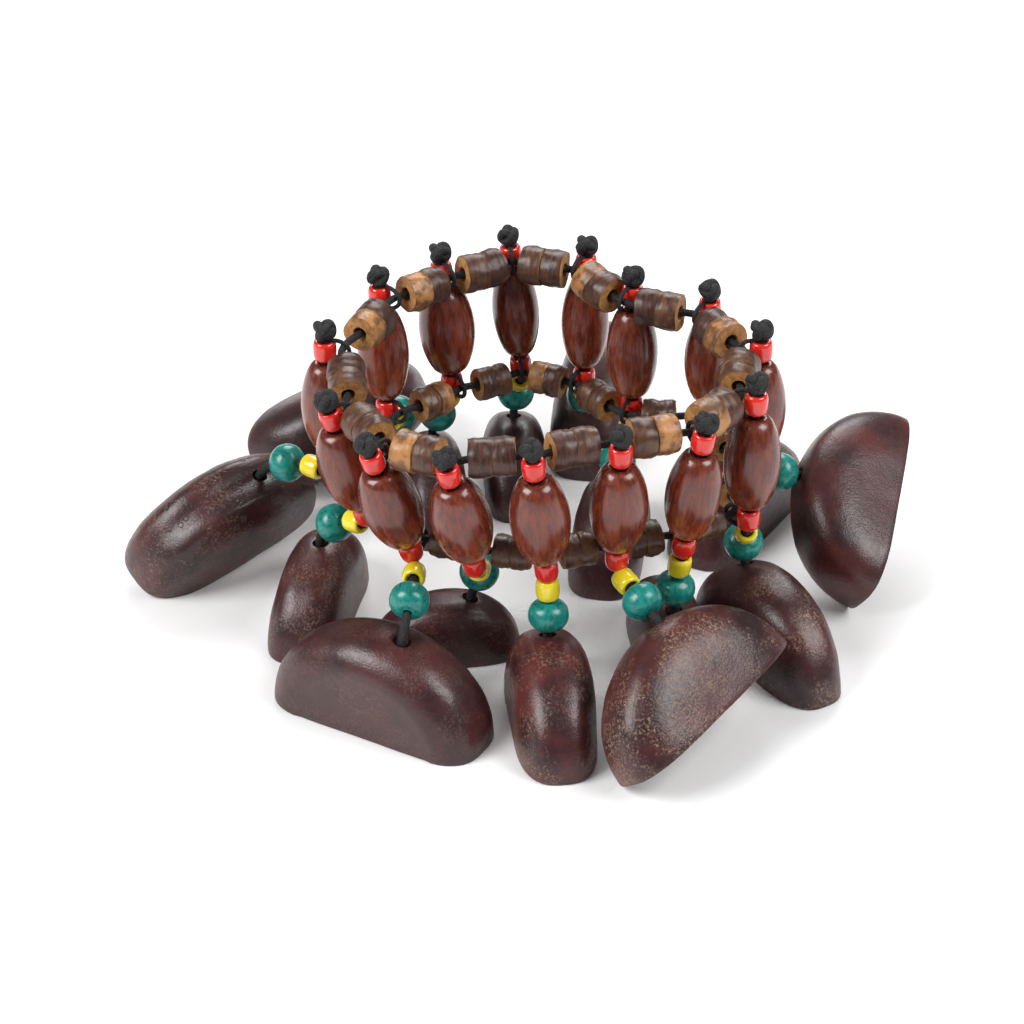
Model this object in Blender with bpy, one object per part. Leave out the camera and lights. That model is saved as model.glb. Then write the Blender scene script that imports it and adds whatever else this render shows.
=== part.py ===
"""Nutshell shaker bracelet: two elastic bead rings, fifteen upright oval beads between them,
and fifteen half nutshells that hang from the lower ring and stand on the table.

Modelled in millimetres below and scaled to metres when a mesh is made. +X is right,
+Y is away from the viewer and +Z is up. The table is z = 0.
"""

import math
import random

import bmesh
import bpy
from mathutils import Matrix, Vector

MM = 0.001
GAP = 0.3                      # what touching pieces keep between them

LOWER_RED_Z = 28.9             # height of the lower red beads, on average

# Elastic and coconut-shell beads
ELASTIC_RADIUS = 0.7
UPPER_COCO_RADIUS = 3.9
UPPER_COCO_LENGTH = 3.8
LOWER_COCO_RADIUS = 3.4
LOWER_COCO_LENGTH = 2.9
COCO_GROOVE = 0.3              # bare elastic between the two beads of a pair
COCO_INSET = 0.4               # the pairs are pushed this far towards the wrist
COCO_TILT_DEG = 5.0            # largest random lean of a bead on the elastic

# Oval wood beads
OVAL_LENGTH = 18.6
OVAL_RADIUS = 5.4
OVAL_END_RADIUS = 2.5
OVAL_FULLNESS = 0.62           # 1 tapers to the ends like a spindle, less makes a fuller barrel
OVAL_BORE_RADIUS = 1.55

# Cords and small beads
CORD_RADIUS = 1.1              # two strands lying together
STRAND_RADIUS = 0.45           # one strand, where the pair parts round an elastic
SEAT_NECK = 1.05               # bare cord between an oval bead and the red bead at its end
KNOT_RADIUS = 2.3
KNOT_LENGTH = 3.4
SEED_RADIUS = 2.15
SEED_END_RADIUS = 1.2
SEED_LENGTH = 3.3
TEAL_RADIUS = 3.65
TEAL_LENGTH = 6.0
TEAL_END_RADIUS = 2.0
STOPPER_RADIUS = 2.2
STOPPER_LENGTH = 3.0
TEAL_TURN = 0.35               # how far the teal bead turns towards the shell's hole
CORNER_EASE = 0.25             # bare cord kept on each side of a corner
CORNER_RADIUS = 1.25            # the widest section next to a corner
DROOP_RANGE = (-25.0, 100.0)   # how steeply a pendant may lead down, in degrees
BARREL_EASE = 0.2              # share of a barrel bead's length that rounds off at each end

# The elastic runs just inside the red beads, held there by a side strand of the cord
ELASTIC_OFFSET = SEED_RADIUS + GAP + ELASTIC_RADIUS
STATION_RUN = 2.0 * (SEED_RADIUS + GAP)

# Nutshell halves
SHELL_HALF_LENGTH = 21.5
SHELL_HALF_WIDTH = 9.8
SHELL_DEPTH = 18.8
SHELL_WALL = 2.0
SHELL_HOLE_RADIUS = 1.6
SHELL_SQUARENESS = 3.0         # 2 is an ellipse, more gives flatter faces and firmer shoulders

# Mesh resolution
COCO_SIDES = 6
OVAL_SIDES = 8
CORD_SIDES = 6
STRAND_SIDES = 4
STRAND_BULGE = 1.4             # how far the strand stands off, as a share of its clearance
STRAND_TURN = 0.55             # turns the strand's edges off the cord's own
SHELL_SIDES = 16
SHELL_OUTER_BANDS = 4
SHELL_INNER_BANDS = 3
SHELL_BAND_EASE = 0.9          # spaces the bands a little closer towards the rim

# One row for each station, clockwise from the back left, as it lies in the hand-laid bracelet:
# degrees round the ring and share of the mean radius for the upper red bead, the same for the
# lower red bead, height over the mean in mm, and the oval bead's share of OVAL_RADIUS.
LAYOUT = (
    (141.5, 0.980, 143.0, 0.990, 0.5, 0.90),
    (118.5, 0.985, 117.0, 0.995, 0.0, 1.00),
    (97.0, 1.045, 94.5, 1.065, 0.0, 0.84),
    (75.0, 0.965, 74.5, 0.970, 0.0, 0.85),
    (53.0, 0.790, 51.5, 0.820, 0.0, 0.90),
    (31.0, 0.990, 34.0, 1.090, 0.0, 0.82),
    (5.0, 1.080, 4.5, 1.160, 0.5, 0.88),
    (-19.5, 1.090, -21.0, 1.150, 0.0, 0.96),
    (-41.5, 1.025, -41.5, 0.985, 0.0, 0.92),
    (-64.0, 0.885, -62.0, 0.860, 0.0, 0.97),
    (-90.5, 0.900, -86.5, 0.860, 0.0, 1.00),
    (-113.5, 0.985, -111.0, 0.850, -0.5, 1.00),
    (-134.5, 1.060, -134.0, 0.900, -1.0, 1.00),
    (-156.5, 1.035, -159.5, 0.925, -1.0, 1.00),
    (-183.0, 1.005, -184.0, 1.070, 1.5, 0.88),
)

# How each pendant leads and how its shell stands. Size is the shell's share of the sizes
# above. Cord heading is where the pendant leads, seen from above. The shell's long axis has a
# heading, the lean tips its apex sideways and the pitch raises the front end of the long
# axis. Hole is how far the hole lies from the apex towards the front end. All are in degrees
# but the size and the lead, which is bare cord between the teal bead and the shell in mm.
POSES = (
    # size, cord heading, long axis, lean, pitch, lead, hole
    (1.00, 75, 45, -58, 0, 4.0, 0),
    (0.76, 128, 95, 0, 0, 1.0, 15),
    (0.72, 102, 92, 0, 0, 1.5, 15),
    (0.98, 88, 80, 0, 8, 2.5, -38),
    (0.78, -120, 80, 0, 0, 1.0, 0),
    (0.90, 35, 58, 0, 0, 0.0, 0),
    (0.97, 60, 76, 60, 24, 0.0, 0),
    (0.90, 95, -60, 0, 0, 0.0, -28),
    (0.72, 145, 100, 0, 0, 1.5, -20),
    (0.98, -60, 48, 40, 12, 0.0, 8),
    (0.86, -75, -84, 0, 0, 0.1, -20),
    (0.66, 85, 8, 0, 0, 4.0, 20),
    (1.00, -93, -28, 0, 0, 2.6, 12),
    (0.82, 138, 77, 0, 0, 2.0, 4),
    (0.95, 145, 38, -28, 8, 2.5, 20),
)
UPRIGHT = Vector((0.0, 0.0, 1.0))

# Colours as seen in the photograph, linear RGB, with roughness
FINISHES = {
    "nutshell": ((0.045, 0.013, 0.014), 0.38),
    "oval_wood": ((0.19, 0.035, 0.012), 0.30),
    "coconut_shell": ((0.085, 0.036, 0.022), 0.55),
    "bead_cord": ((0.012, 0.012, 0.013), 0.80),
}


def clear_scene():
    """Remove every object of the starting scene."""
    for item in list(bpy.data.objects):
        bpy.data.objects.remove(item, do_unlink=True)


def make_material(name, finish):
    """A Principled material with the finish's colour and roughness."""
    colour, roughness = FINISHES[finish]
    material = bpy.data.materials.new(name + "_finish")
    material.use_nodes = True
    shader = material.node_tree.nodes["Principled BSDF"]
    shader.inputs["Base Color"].default_value = (*colour, 1.0)
    shader.inputs["Roughness"].default_value = roughness
    shader.inputs["Metallic"].default_value = 0.0
    return material


def add_object(name, mesh, finish=None):
    """Link a mesh as an object, with its finish where it is a piece to keep."""
    piece = bpy.data.objects.new(name, mesh)
    bpy.context.scene.collection.objects.link(piece)
    if finish:
        mesh.materials.clear()
        mesh.materials.append(make_material(name, finish))
    return piece


def mesh_from_rows(name, rows, closed):
    """Skin rows of points, each a closed loop, and cap both ends unless the rows close."""
    work = bmesh.new()
    rings = [[work.verts.new(point * MM) for point in row] for row in rows]
    count = len(rings[0])
    pairs = list(zip(rings, rings[1:]))
    if closed:
        pairs.append((rings[-1], rings[0]))
    for lower, upper in pairs:
        for i in range(count):
            j = (i + 1) % count
            work.faces.new((lower[i], lower[j], upper[j], upper[i]))
    if not closed:
        work.faces.new(list(reversed(rings[0])))
        work.faces.new(rings[-1])
    bmesh.ops.recalc_face_normals(work, faces=work.faces[:])
    mesh = bpy.data.meshes.new(name)
    work.to_mesh(mesh)
    work.free()
    return mesh


def swept_rows(sections, sides, reference, turned=True):
    """Rows of points for sections (centre, axis, radius), carried along without twist."""
    rows = []
    side = reference
    for centre, axis, radius in sections:
        axis = axis.normalized()
        side = side if turned else reference
        side = (side - axis * side.dot(axis)).normalized()
        other = axis.cross(side)
        row = []
        for i in range(sides):
            angle = 2.0 * math.pi * i / sides
            row.append(centre + radius * (math.cos(angle) * side + math.sin(angle) * other))
        rows.append(row)
    return rows


def united(name, meshes):
    """One closed mesh from overlapping closed meshes."""
    parts = [add_object(name + "_part", mesh) for mesh in meshes]
    base = parts[0]
    for part in parts[1:]:
        joiner = base.modifiers.new("join", "BOOLEAN")
        joiner.operation = "UNION"
        joiner.solver = "EXACT"
        joiner.object = part
    bpy.context.view_layer.update()
    shown = base.evaluated_get(bpy.context.evaluated_depsgraph_get())
    mesh = bpy.data.meshes.new_from_object(shown)
    mesh.name = name
    for part in parts:
        bpy.data.objects.remove(part, do_unlink=True)
    return mesh


def ring_points(radius, rows):
    """Points at (degrees, share) rows round a ring of a mean radius, in plan."""
    found = []
    for angle_deg, share in rows:
        angle = math.radians(angle_deg)
        found.append(Vector((math.cos(angle), math.sin(angle), 0.0)) * radius * share)
    return found


def inward_normals(points):
    """The direction towards the wrist at each point of a ring."""
    normals = []
    for k in range(len(points)):
        along = points[(k + 1) % len(points)] - points[k - 1]
        normals.append(along.cross(UPRIGHT).normalized())
    return normals


def fitted_ring(rows, pitch):
    """The smallest ring whose closest pair of elastic crossings is a pitch apart."""
    low, high = 10.0, 200.0
    for _ in range(50):
        radius = (low + high) / 2.0
        points = ring_points(radius, rows)
        normals = inward_normals(points)
        crossings = [point + normal * ELASTIC_OFFSET for point, normal in zip(points, normals)]
        closest = min((crossings[k] - crossings[k - 1]).length for k in range(len(points)))
        if closest < pitch:
            low = radius
        else:
            high = radius
    return points, normals


class Station:
    """One upright cord: its red beads, the oval's axis and where the elastics pass."""

    def __init__(self, upper, lower, upper_inward, lower_inward, height, girth):
        reach = OVAL_LENGTH + SEED_LENGTH + 2.0 * SEAT_NECK
        flat = upper - lower
        rise = math.sqrt(reach * reach - flat.length_squared)
        self.lower_red = lower + UPRIGHT * (LOWER_RED_Z + height)
        self.upper_red = self.lower_red + flat + UPRIGHT * rise
        self.axis = (self.upper_red - self.lower_red).normalized()
        self.upper_inward = self.square_to_axis(upper_inward)
        self.lower_inward = self.square_to_axis(lower_inward)
        self.upper_crossing = self.upper_red + self.upper_inward * ELASTIC_OFFSET
        self.lower_crossing = self.lower_red + self.lower_inward * ELASTIC_OFFSET
        self.oval_foot = self.lower_red + self.axis * (SEED_LENGTH / 2.0 + SEAT_NECK)
        self.oval_radius = OVAL_RADIUS * girth

    def square_to_axis(self, direction):
        """A direction with its part along the oval's axis taken out."""
        return (direction - self.axis * direction.dot(self.axis)).normalized()


def all_stations():
    """The stations in order, on rings just large enough for their beads."""
    upper_pitch = 2.0 * UPPER_COCO_LENGTH + COCO_GROOVE + STATION_RUN
    lower_pitch = 2.0 * LOWER_COCO_LENGTH + COCO_GROOVE + STATION_RUN
    uppers, upper_normals = fitted_ring([(row[0], row[1]) for row in LAYOUT], upper_pitch)
    lowers, lower_normals = fitted_ring([(row[2], row[3]) for row in LAYOUT], lower_pitch)
    return [
        Station(upper, lower, upper_in, lower_in, row[4], row[5])
        for upper, lower, upper_in, lower_in, row in zip(
            uppers, lowers, upper_normals, lower_normals, LAYOUT
        )
    ]


def bead_ring(name, crossings, radius, length, seed):
    """A closed elastic with a pair of coconut-shell beads in each run between crossings."""
    spread = random.Random(seed)
    centre = sum(crossings, Vector()) / len(crossings)
    sections = []
    count = len(crossings)
    for k, here in enumerate(crossings):
        following = crossings[(k + 1) % count]
        sections.append((here, following - crossings[k - 1], ELASTIC_RADIUS))
        along = (following - here).normalized()
        middle = (here + following) / 2.0
        inward = centre - middle
        inward.z = 0.0
        middle = middle + inward.normalized() * COCO_INSET
        for side in (-1.0, 1.0):
            offset = side * (length + COCO_GROOVE) / 2.0
            tilt = math.radians(spread.uniform(-COCO_TILT_DEG, COCO_TILT_DEG))
            turn = math.radians(spread.uniform(-COCO_TILT_DEG, COCO_TILT_DEG))
            across = along.cross(UPRIGHT).normalized()
            axis = Matrix.Rotation(tilt, 3, across) @ Matrix.Rotation(turn, 3, UPRIGHT) @ along
            bead = middle + along * offset
            start = bead - axis * length / 2.0
            end = bead + axis * length / 2.0
            sections.append((start, axis, ELASTIC_RADIUS))
            sections.append((start, axis, radius))
            sections.append((end, axis, radius))
            sections.append((end, axis, ELASTIC_RADIUS))
    rows = swept_rows(sections, COCO_SIDES, UPRIGHT, turned=False)
    return add_object(name, mesh_from_rows(name, rows, closed=True), "coconut_shell")


def oval_bead(name, bottom, axis, widest):
    """An upright oval bead with a straight bore, standing on its lower end."""
    outer_steps = 6
    sections = []
    for i in range(outer_steps + 1):
        share = -1.0 + 2.0 * i / outer_steps
        swell = math.cos(math.pi / 2.0 * share)
        radius = OVAL_END_RADIUS + (widest - OVAL_END_RADIUS) * swell ** OVAL_FULLNESS
        sections.append((bottom + axis * OVAL_LENGTH * (share + 1.0) / 2.0, axis, radius))
    sections.append((bottom + axis * OVAL_LENGTH, axis, OVAL_BORE_RADIUS))
    sections.append((bottom, axis, OVAL_BORE_RADIUS))
    rows = swept_rows(sections, OVAL_SIDES, Vector((1.0, 0.0, 0.0)), turned=False)
    return add_object(name, mesh_from_rows(name, rows, closed=True), "oval_wood")


def seed_sections(start, axis):
    """Sections of a seed bead from one face to the other."""
    return [
        (start, axis, SEED_END_RADIUS),
        (start + axis * SEED_LENGTH / 2.0, axis, SEED_RADIUS),
        (start + axis * SEED_LENGTH, axis, SEED_END_RADIUS),
    ]


def barrel_sections(start, axis, length, radius, end_radius):
    """Sections of a fuller bead with a straight waist."""
    ease = length * BARREL_EASE
    return [
        (start, axis, end_radius),
        (start + axis * ease, axis, radius),
        (start + axis * (length - ease), axis, radius),
        (start + axis * length, axis, end_radius),
    ]


def side_strand(name, red_centre, axis, inward):
    """The strand that leaves the cord above a red bead and holds the elastic against it."""
    clearance = ELASTIC_RADIUS + GAP + STRAND_RADIUS
    shoulder = SEED_LENGTH / 2.0 + STRAND_RADIUS / 2.0
    outline = (
        (CORD_RADIUS / 3.0, shoulder),
        (ELASTIC_OFFSET + GAP, shoulder),
        (ELASTIC_OFFSET + clearance * STRAND_BULGE, 0.0),
        (ELASTIC_OFFSET + GAP, -shoulder),
        (CORD_RADIUS / 3.0, -shoulder),
    )
    points = [red_centre + inward * reach + axis * height for reach, height in outline]
    aside = axis.cross(inward) + axis * STRAND_TURN
    sections = []
    for i, point in enumerate(points):
        before = points[max(i - 1, 0)]
        after = points[min(i + 1, len(points) - 1)]
        sections.append((point, after - before, STRAND_RADIUS))
    return mesh_from_rows(name, swept_rows(sections, STRAND_SIDES, aside), False)


def shell_axes(heading_deg, lean_deg, pitch_deg):
    """Long axis, thickness axis and apex axis of a shell as it stands."""
    turn = Matrix.Rotation(math.radians(heading_deg), 3, "Z")
    raise_end = Matrix.Rotation(-math.radians(pitch_deg), 3, "Y")
    tip = Matrix.Rotation(-math.radians(lean_deg), 3, "X")
    frame = turn @ raise_end @ tip
    return frame.col[0].copy(), frame.col[1].copy(), frame.col[2].copy()


def shell_point(sizes, direction):
    """Where a direction from the rim's centre meets a half shell of these sizes."""
    half_length, half_width, depth = sizes
    x, y, z = direction
    power = SHELL_SQUARENESS
    reach = (math.hypot(x, z) ** power + abs(y) ** power) ** (1.0 / power)
    return Vector((half_length * x, half_width * y, depth * z)) / reach


def shell_hole(size, hole_deg):
    """The middle of a shell's hole on its outside, and the direction out of it."""
    turn = math.radians(hole_deg)
    length, depth = SHELL_HALF_LENGTH * size, SHELL_DEPTH * size
    middle = Vector((length * math.sin(turn), 0.0, depth * math.cos(turn)))
    return middle, Vector((math.sin(turn) / length, 0.0, math.cos(turn) / depth)).normalized()


def shell_rows(size, hole_deg):
    """Rows of a shell about its rim centre: hole outside, dome, rim, inner dome, hole inside."""
    turn = math.radians(hole_deg)
    pole = Vector((math.sin(turn), 0.0, math.cos(turn)))
    middle, out = shell_hole(size, hole_deg)
    angles = [2.0 * math.pi * i / SHELL_SIDES for i in range(SHELL_SIDES)]
    rim = [Vector((math.cos(angle), math.sin(angle), 0.0)) for angle in angles]

    def hole_row(inside):
        side = Vector((out.z, 0.0, -out.x)) * SHELL_HOLE_RADIUS
        thick = Vector((0.0, SHELL_HOLE_RADIUS, 0.0))
        return [middle - out * inside + side * edge.x + thick * edge.y for edge in rim]

    def skin(thinner, bands):
        sizes = [part * size - thinner for part in (SHELL_HALF_LENGTH, SHELL_HALF_WIDTH, SHELL_DEPTH)]
        downs = [(i / bands) ** SHELL_BAND_EASE for i in range(1, bands + 1)]
        return [[shell_point(sizes, pole.slerp(edge, down)) for edge in rim] for down in downs]

    rows = [hole_row(0.0)]
    rows.extend(skin(0.0, SHELL_OUTER_BANDS))
    rows.extend(reversed(skin(SHELL_WALL, SHELL_INNER_BANDS)))
    rows.append(hole_row(SHELL_WALL))
    return rows


def chain_directions(cord_heading_deg, droop_deg, hole_axis):
    """Directions of the yellow and teal beads between the oval bead and the shell."""
    heading = math.radians(cord_heading_deg)
    droop = math.radians(droop_deg)
    yellow = Vector((math.cos(heading), math.sin(heading), 0.0)) * math.cos(droop)
    yellow -= UPRIGHT * math.sin(droop)
    teal = (yellow - hole_axis * TEAL_TURN).normalized()
    return yellow, teal


def corner_reach(before, after):
    """How far from a corner of the cord its sections stay, so that they don't cross."""
    return CORNER_EASE + CORNER_RADIUS * math.tan(before.angle(after) / 2.0)


def teal_standoff(teal, hole_axis):
    """Height of the teal bead's end over the hole, so that its waist clears the shell."""
    along = max(-teal.dot(hole_axis), 0.0)
    across = math.sqrt(max(1.0 - along * along, 0.0))
    waist = TEAL_RADIUS * across - TEAL_LENGTH * BARREL_EASE * along
    return GAP + max(waist, TEAL_END_RADIUS * across)


class Pendant:
    """The places of the yellow bead, the teal bead and the shell's hole below one station."""

    def __init__(self, station, cord_heading_deg, droop_deg, hole_axis, lead):
        down = -station.axis
        self.yellow, self.teal = chain_directions(cord_heading_deg, droop_deg, hole_axis)
        self.hole_axis = hole_axis
        self.red_end = station.lower_red + down * (SEED_LENGTH / 2.0 + CORNER_EASE)
        reach = corner_reach(down, self.yellow)
        self.yellow_start = self.red_end + (down + self.yellow) * reach
        yellow_end = self.yellow_start + self.yellow * SEED_LENGTH
        reach = corner_reach(self.yellow, self.teal)
        self.teal_start = yellow_end + (self.yellow + self.teal) * reach
        self.teal_end = self.teal_start + self.teal * TEAL_LENGTH
        reach = corner_reach(self.teal, -hole_axis) + lead
        self.turned_in = self.teal_end + (self.teal - hole_axis) * reach
        drop = max(teal_standoff(self.teal, hole_axis) - self.teal.dot(-hole_axis) * reach, reach + GAP)
        self.hole = self.teal_end + self.teal * reach - hole_axis * drop


def settle_shell(station, pose):
    """Find the droop that sets the shell's lowest point on the table, and the shell's place."""
    size, cord_heading, heading, lean, pitch, lead, hole_deg = pose
    axes = Matrix(shell_axes(heading, lean, pitch)).transposed()
    turned = [[axes @ point for point in row] for row in shell_rows(size, hole_deg)]
    middle, out = (axes @ part for part in shell_hole(size, hole_deg))
    wanted = middle.z - min(point.z for row in turned for point in row)
    low, high = DROOP_RANGE
    for _ in range(50):
        droop = (low + high) / 2.0
        pendant = Pendant(station, cord_heading, droop, out, lead)
        if pendant.hole.z > wanted:
            low = droop
        else:
            high = droop
    rim_centre = pendant.hole - middle
    return [[rim_centre + point for point in row] for row in turned], pendant


def drop_cord(name, station, pendant):
    """Knot, seed beads, teal bead and stopper knot on one doubled cord."""
    down = -station.axis
    half = SEED_LENGTH / 2.0
    knot_top = station.upper_red - down * (half + SEAT_NECK + KNOT_LENGTH)
    into = -pendant.hole_axis
    stopper = pendant.hole + into * (SHELL_WALL + 2.0 * GAP)
    knot = (KNOT_LENGTH, KNOT_RADIUS, CORD_RADIUS)
    teal = (TEAL_LENGTH, TEAL_RADIUS, TEAL_END_RADIUS)
    sections = barrel_sections(knot_top, down, *knot)
    sections += seed_sections(station.upper_red - down * half, down)
    sections.append((station.oval_foot + station.axis * (OVAL_LENGTH + GAP), down, CORD_RADIUS))
    sections.append((station.oval_foot + down * GAP, down, CORD_RADIUS))
    sections += seed_sections(station.lower_red - down * half, down)
    sections.append((pendant.red_end, down, CORD_RADIUS))
    sections += seed_sections(pendant.yellow_start, pendant.yellow)
    sections += barrel_sections(pendant.teal_start, pendant.teal, *teal)
    sections.append((pendant.teal_end, pendant.teal, CORD_RADIUS))
    sections.append((pendant.turned_in, into, CORD_RADIUS))
    sections.append((stopper - into * GAP, into, CORD_RADIUS))
    sections.append((stopper, into, CORD_RADIUS))
    sections.append((stopper + into * STOPPER_LENGTH / 2.0, into, STOPPER_RADIUS))
    sections.append((stopper + into * STOPPER_LENGTH, into, CORD_RADIUS))
    rows = swept_rows(sections, CORD_SIDES, station.upper_inward)
    meshes = [
        mesh_from_rows(name, rows, closed=False),
        side_strand(name, station.upper_red, station.axis, station.upper_inward),
        side_strand(name, station.lower_red, station.axis, station.lower_inward),
    ]
    return add_object(name, united(name, meshes), "bead_cord")


def shade(piece):
    """Smooth shading with crisp edges kept."""
    piece.data.shade_smooth()
    piece.data.set_sharp_from_angle(angle=math.radians(40.0))


def build():
    """Build every piece, then put the origin under the middle of the whole object."""
    clear_scene()
    stations = all_stations()
    uppers = [station.upper_crossing for station in stations]
    lowers = [station.lower_crossing for station in stations]
    pieces = [
        bead_ring("upper_bead_ring", uppers, UPPER_COCO_RADIUS, UPPER_COCO_LENGTH, 4),
        bead_ring("lower_bead_ring", lowers, LOWER_COCO_RADIUS, LOWER_COCO_LENGTH, 9),
    ]
    for k, station in enumerate(stations):
        number = f"{k + 1:02d}"
        rows, pendant = settle_shell(station, POSES[k])
        name = "nutshell_" + number
        pieces.append(add_object(name, mesh_from_rows(name, rows, closed=True), "nutshell"))
        foot, widest = station.oval_foot, station.oval_radius
        pieces.append(oval_bead("oval_bead_" + number, foot, station.axis, widest))
        pieces.append(drop_cord("drop_cord_" + number, station, pendant))
    corners = [vertex.co for piece in pieces for vertex in piece.data.vertices]
    shift = Vector(
        (
            -(min(c.x for c in corners) + max(c.x for c in corners)) / 2.0,
            -(min(c.y for c in corners) + max(c.y for c in corners)) / 2.0,
            -min(c.z for c in corners),
        )
    )
    for piece in pieces:
        piece.data.transform(Matrix.Translation(shift))
        shade(piece)


build()
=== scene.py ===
"""Looks of the nutshell shaker bracelet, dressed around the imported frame.

Every station of the bracelet is one waxed thread with a tied knot, a red seed bead, an oval
wood bead, a second red seed bead, a yellow seed bead, a teal wood bead and half a nutshell.
Two elastics with coconut-shell beads run just inside the red beads. Places come from the
frame: the oval beads give each station its line, and the boxes of the nutshells give theirs.
Sizes below are in millimetres, and meshes are made in metres.
"""

import logging
import math
import random
from dataclasses import dataclass, field
from enum import Enum
from typing import ClassVar

import bpy
import numpy as np
from mathutils import Matrix, Vector, noise


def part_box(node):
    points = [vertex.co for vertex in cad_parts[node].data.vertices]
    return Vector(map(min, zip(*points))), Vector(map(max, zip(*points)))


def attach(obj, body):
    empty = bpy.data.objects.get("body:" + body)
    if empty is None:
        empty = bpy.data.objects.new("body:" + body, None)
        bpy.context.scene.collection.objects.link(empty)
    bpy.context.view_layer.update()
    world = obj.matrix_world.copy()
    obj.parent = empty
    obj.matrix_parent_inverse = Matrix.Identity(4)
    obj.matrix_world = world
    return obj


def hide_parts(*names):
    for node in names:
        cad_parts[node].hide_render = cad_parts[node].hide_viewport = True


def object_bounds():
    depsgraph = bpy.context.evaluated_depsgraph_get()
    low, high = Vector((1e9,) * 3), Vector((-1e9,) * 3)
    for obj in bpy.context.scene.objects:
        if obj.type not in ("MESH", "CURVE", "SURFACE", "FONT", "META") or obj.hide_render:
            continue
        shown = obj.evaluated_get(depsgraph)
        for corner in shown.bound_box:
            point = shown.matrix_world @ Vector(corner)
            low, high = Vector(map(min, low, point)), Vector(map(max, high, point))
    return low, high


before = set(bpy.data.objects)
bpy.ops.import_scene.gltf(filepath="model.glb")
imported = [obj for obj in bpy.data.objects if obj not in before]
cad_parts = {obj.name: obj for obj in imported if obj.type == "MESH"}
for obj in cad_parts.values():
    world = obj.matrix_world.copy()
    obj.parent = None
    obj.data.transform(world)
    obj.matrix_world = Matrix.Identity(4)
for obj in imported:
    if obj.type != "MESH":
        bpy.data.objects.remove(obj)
CAD_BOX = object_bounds()

MM = 0.001
BODY = "root"
UPRIGHT = Vector((0.0, 0.0, 1.0))
LOG = logging.getLogger("nutshell_bracelet")
NOISE_SEED = 5
WELD = 0.01
NEARLY_ALONG = 0.98
PATTERN_SHIFT = 90.0

Triple = tuple[float, float, float]
Socket = bpy.types.NodeSocket
Material = bpy.types.Material
Piece = bpy.types.Object


class Slot(Enum):
    """The record's material slots."""

    NUTSHELL = "nutshell"
    OVAL_WOOD = "oval_wood"
    COCONUT = "coconut_shell"
    CORD = "bead_cord"


class Level(Enum):
    """The two bead rings."""

    UPPER = "upper"
    LOWER = "lower"


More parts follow.
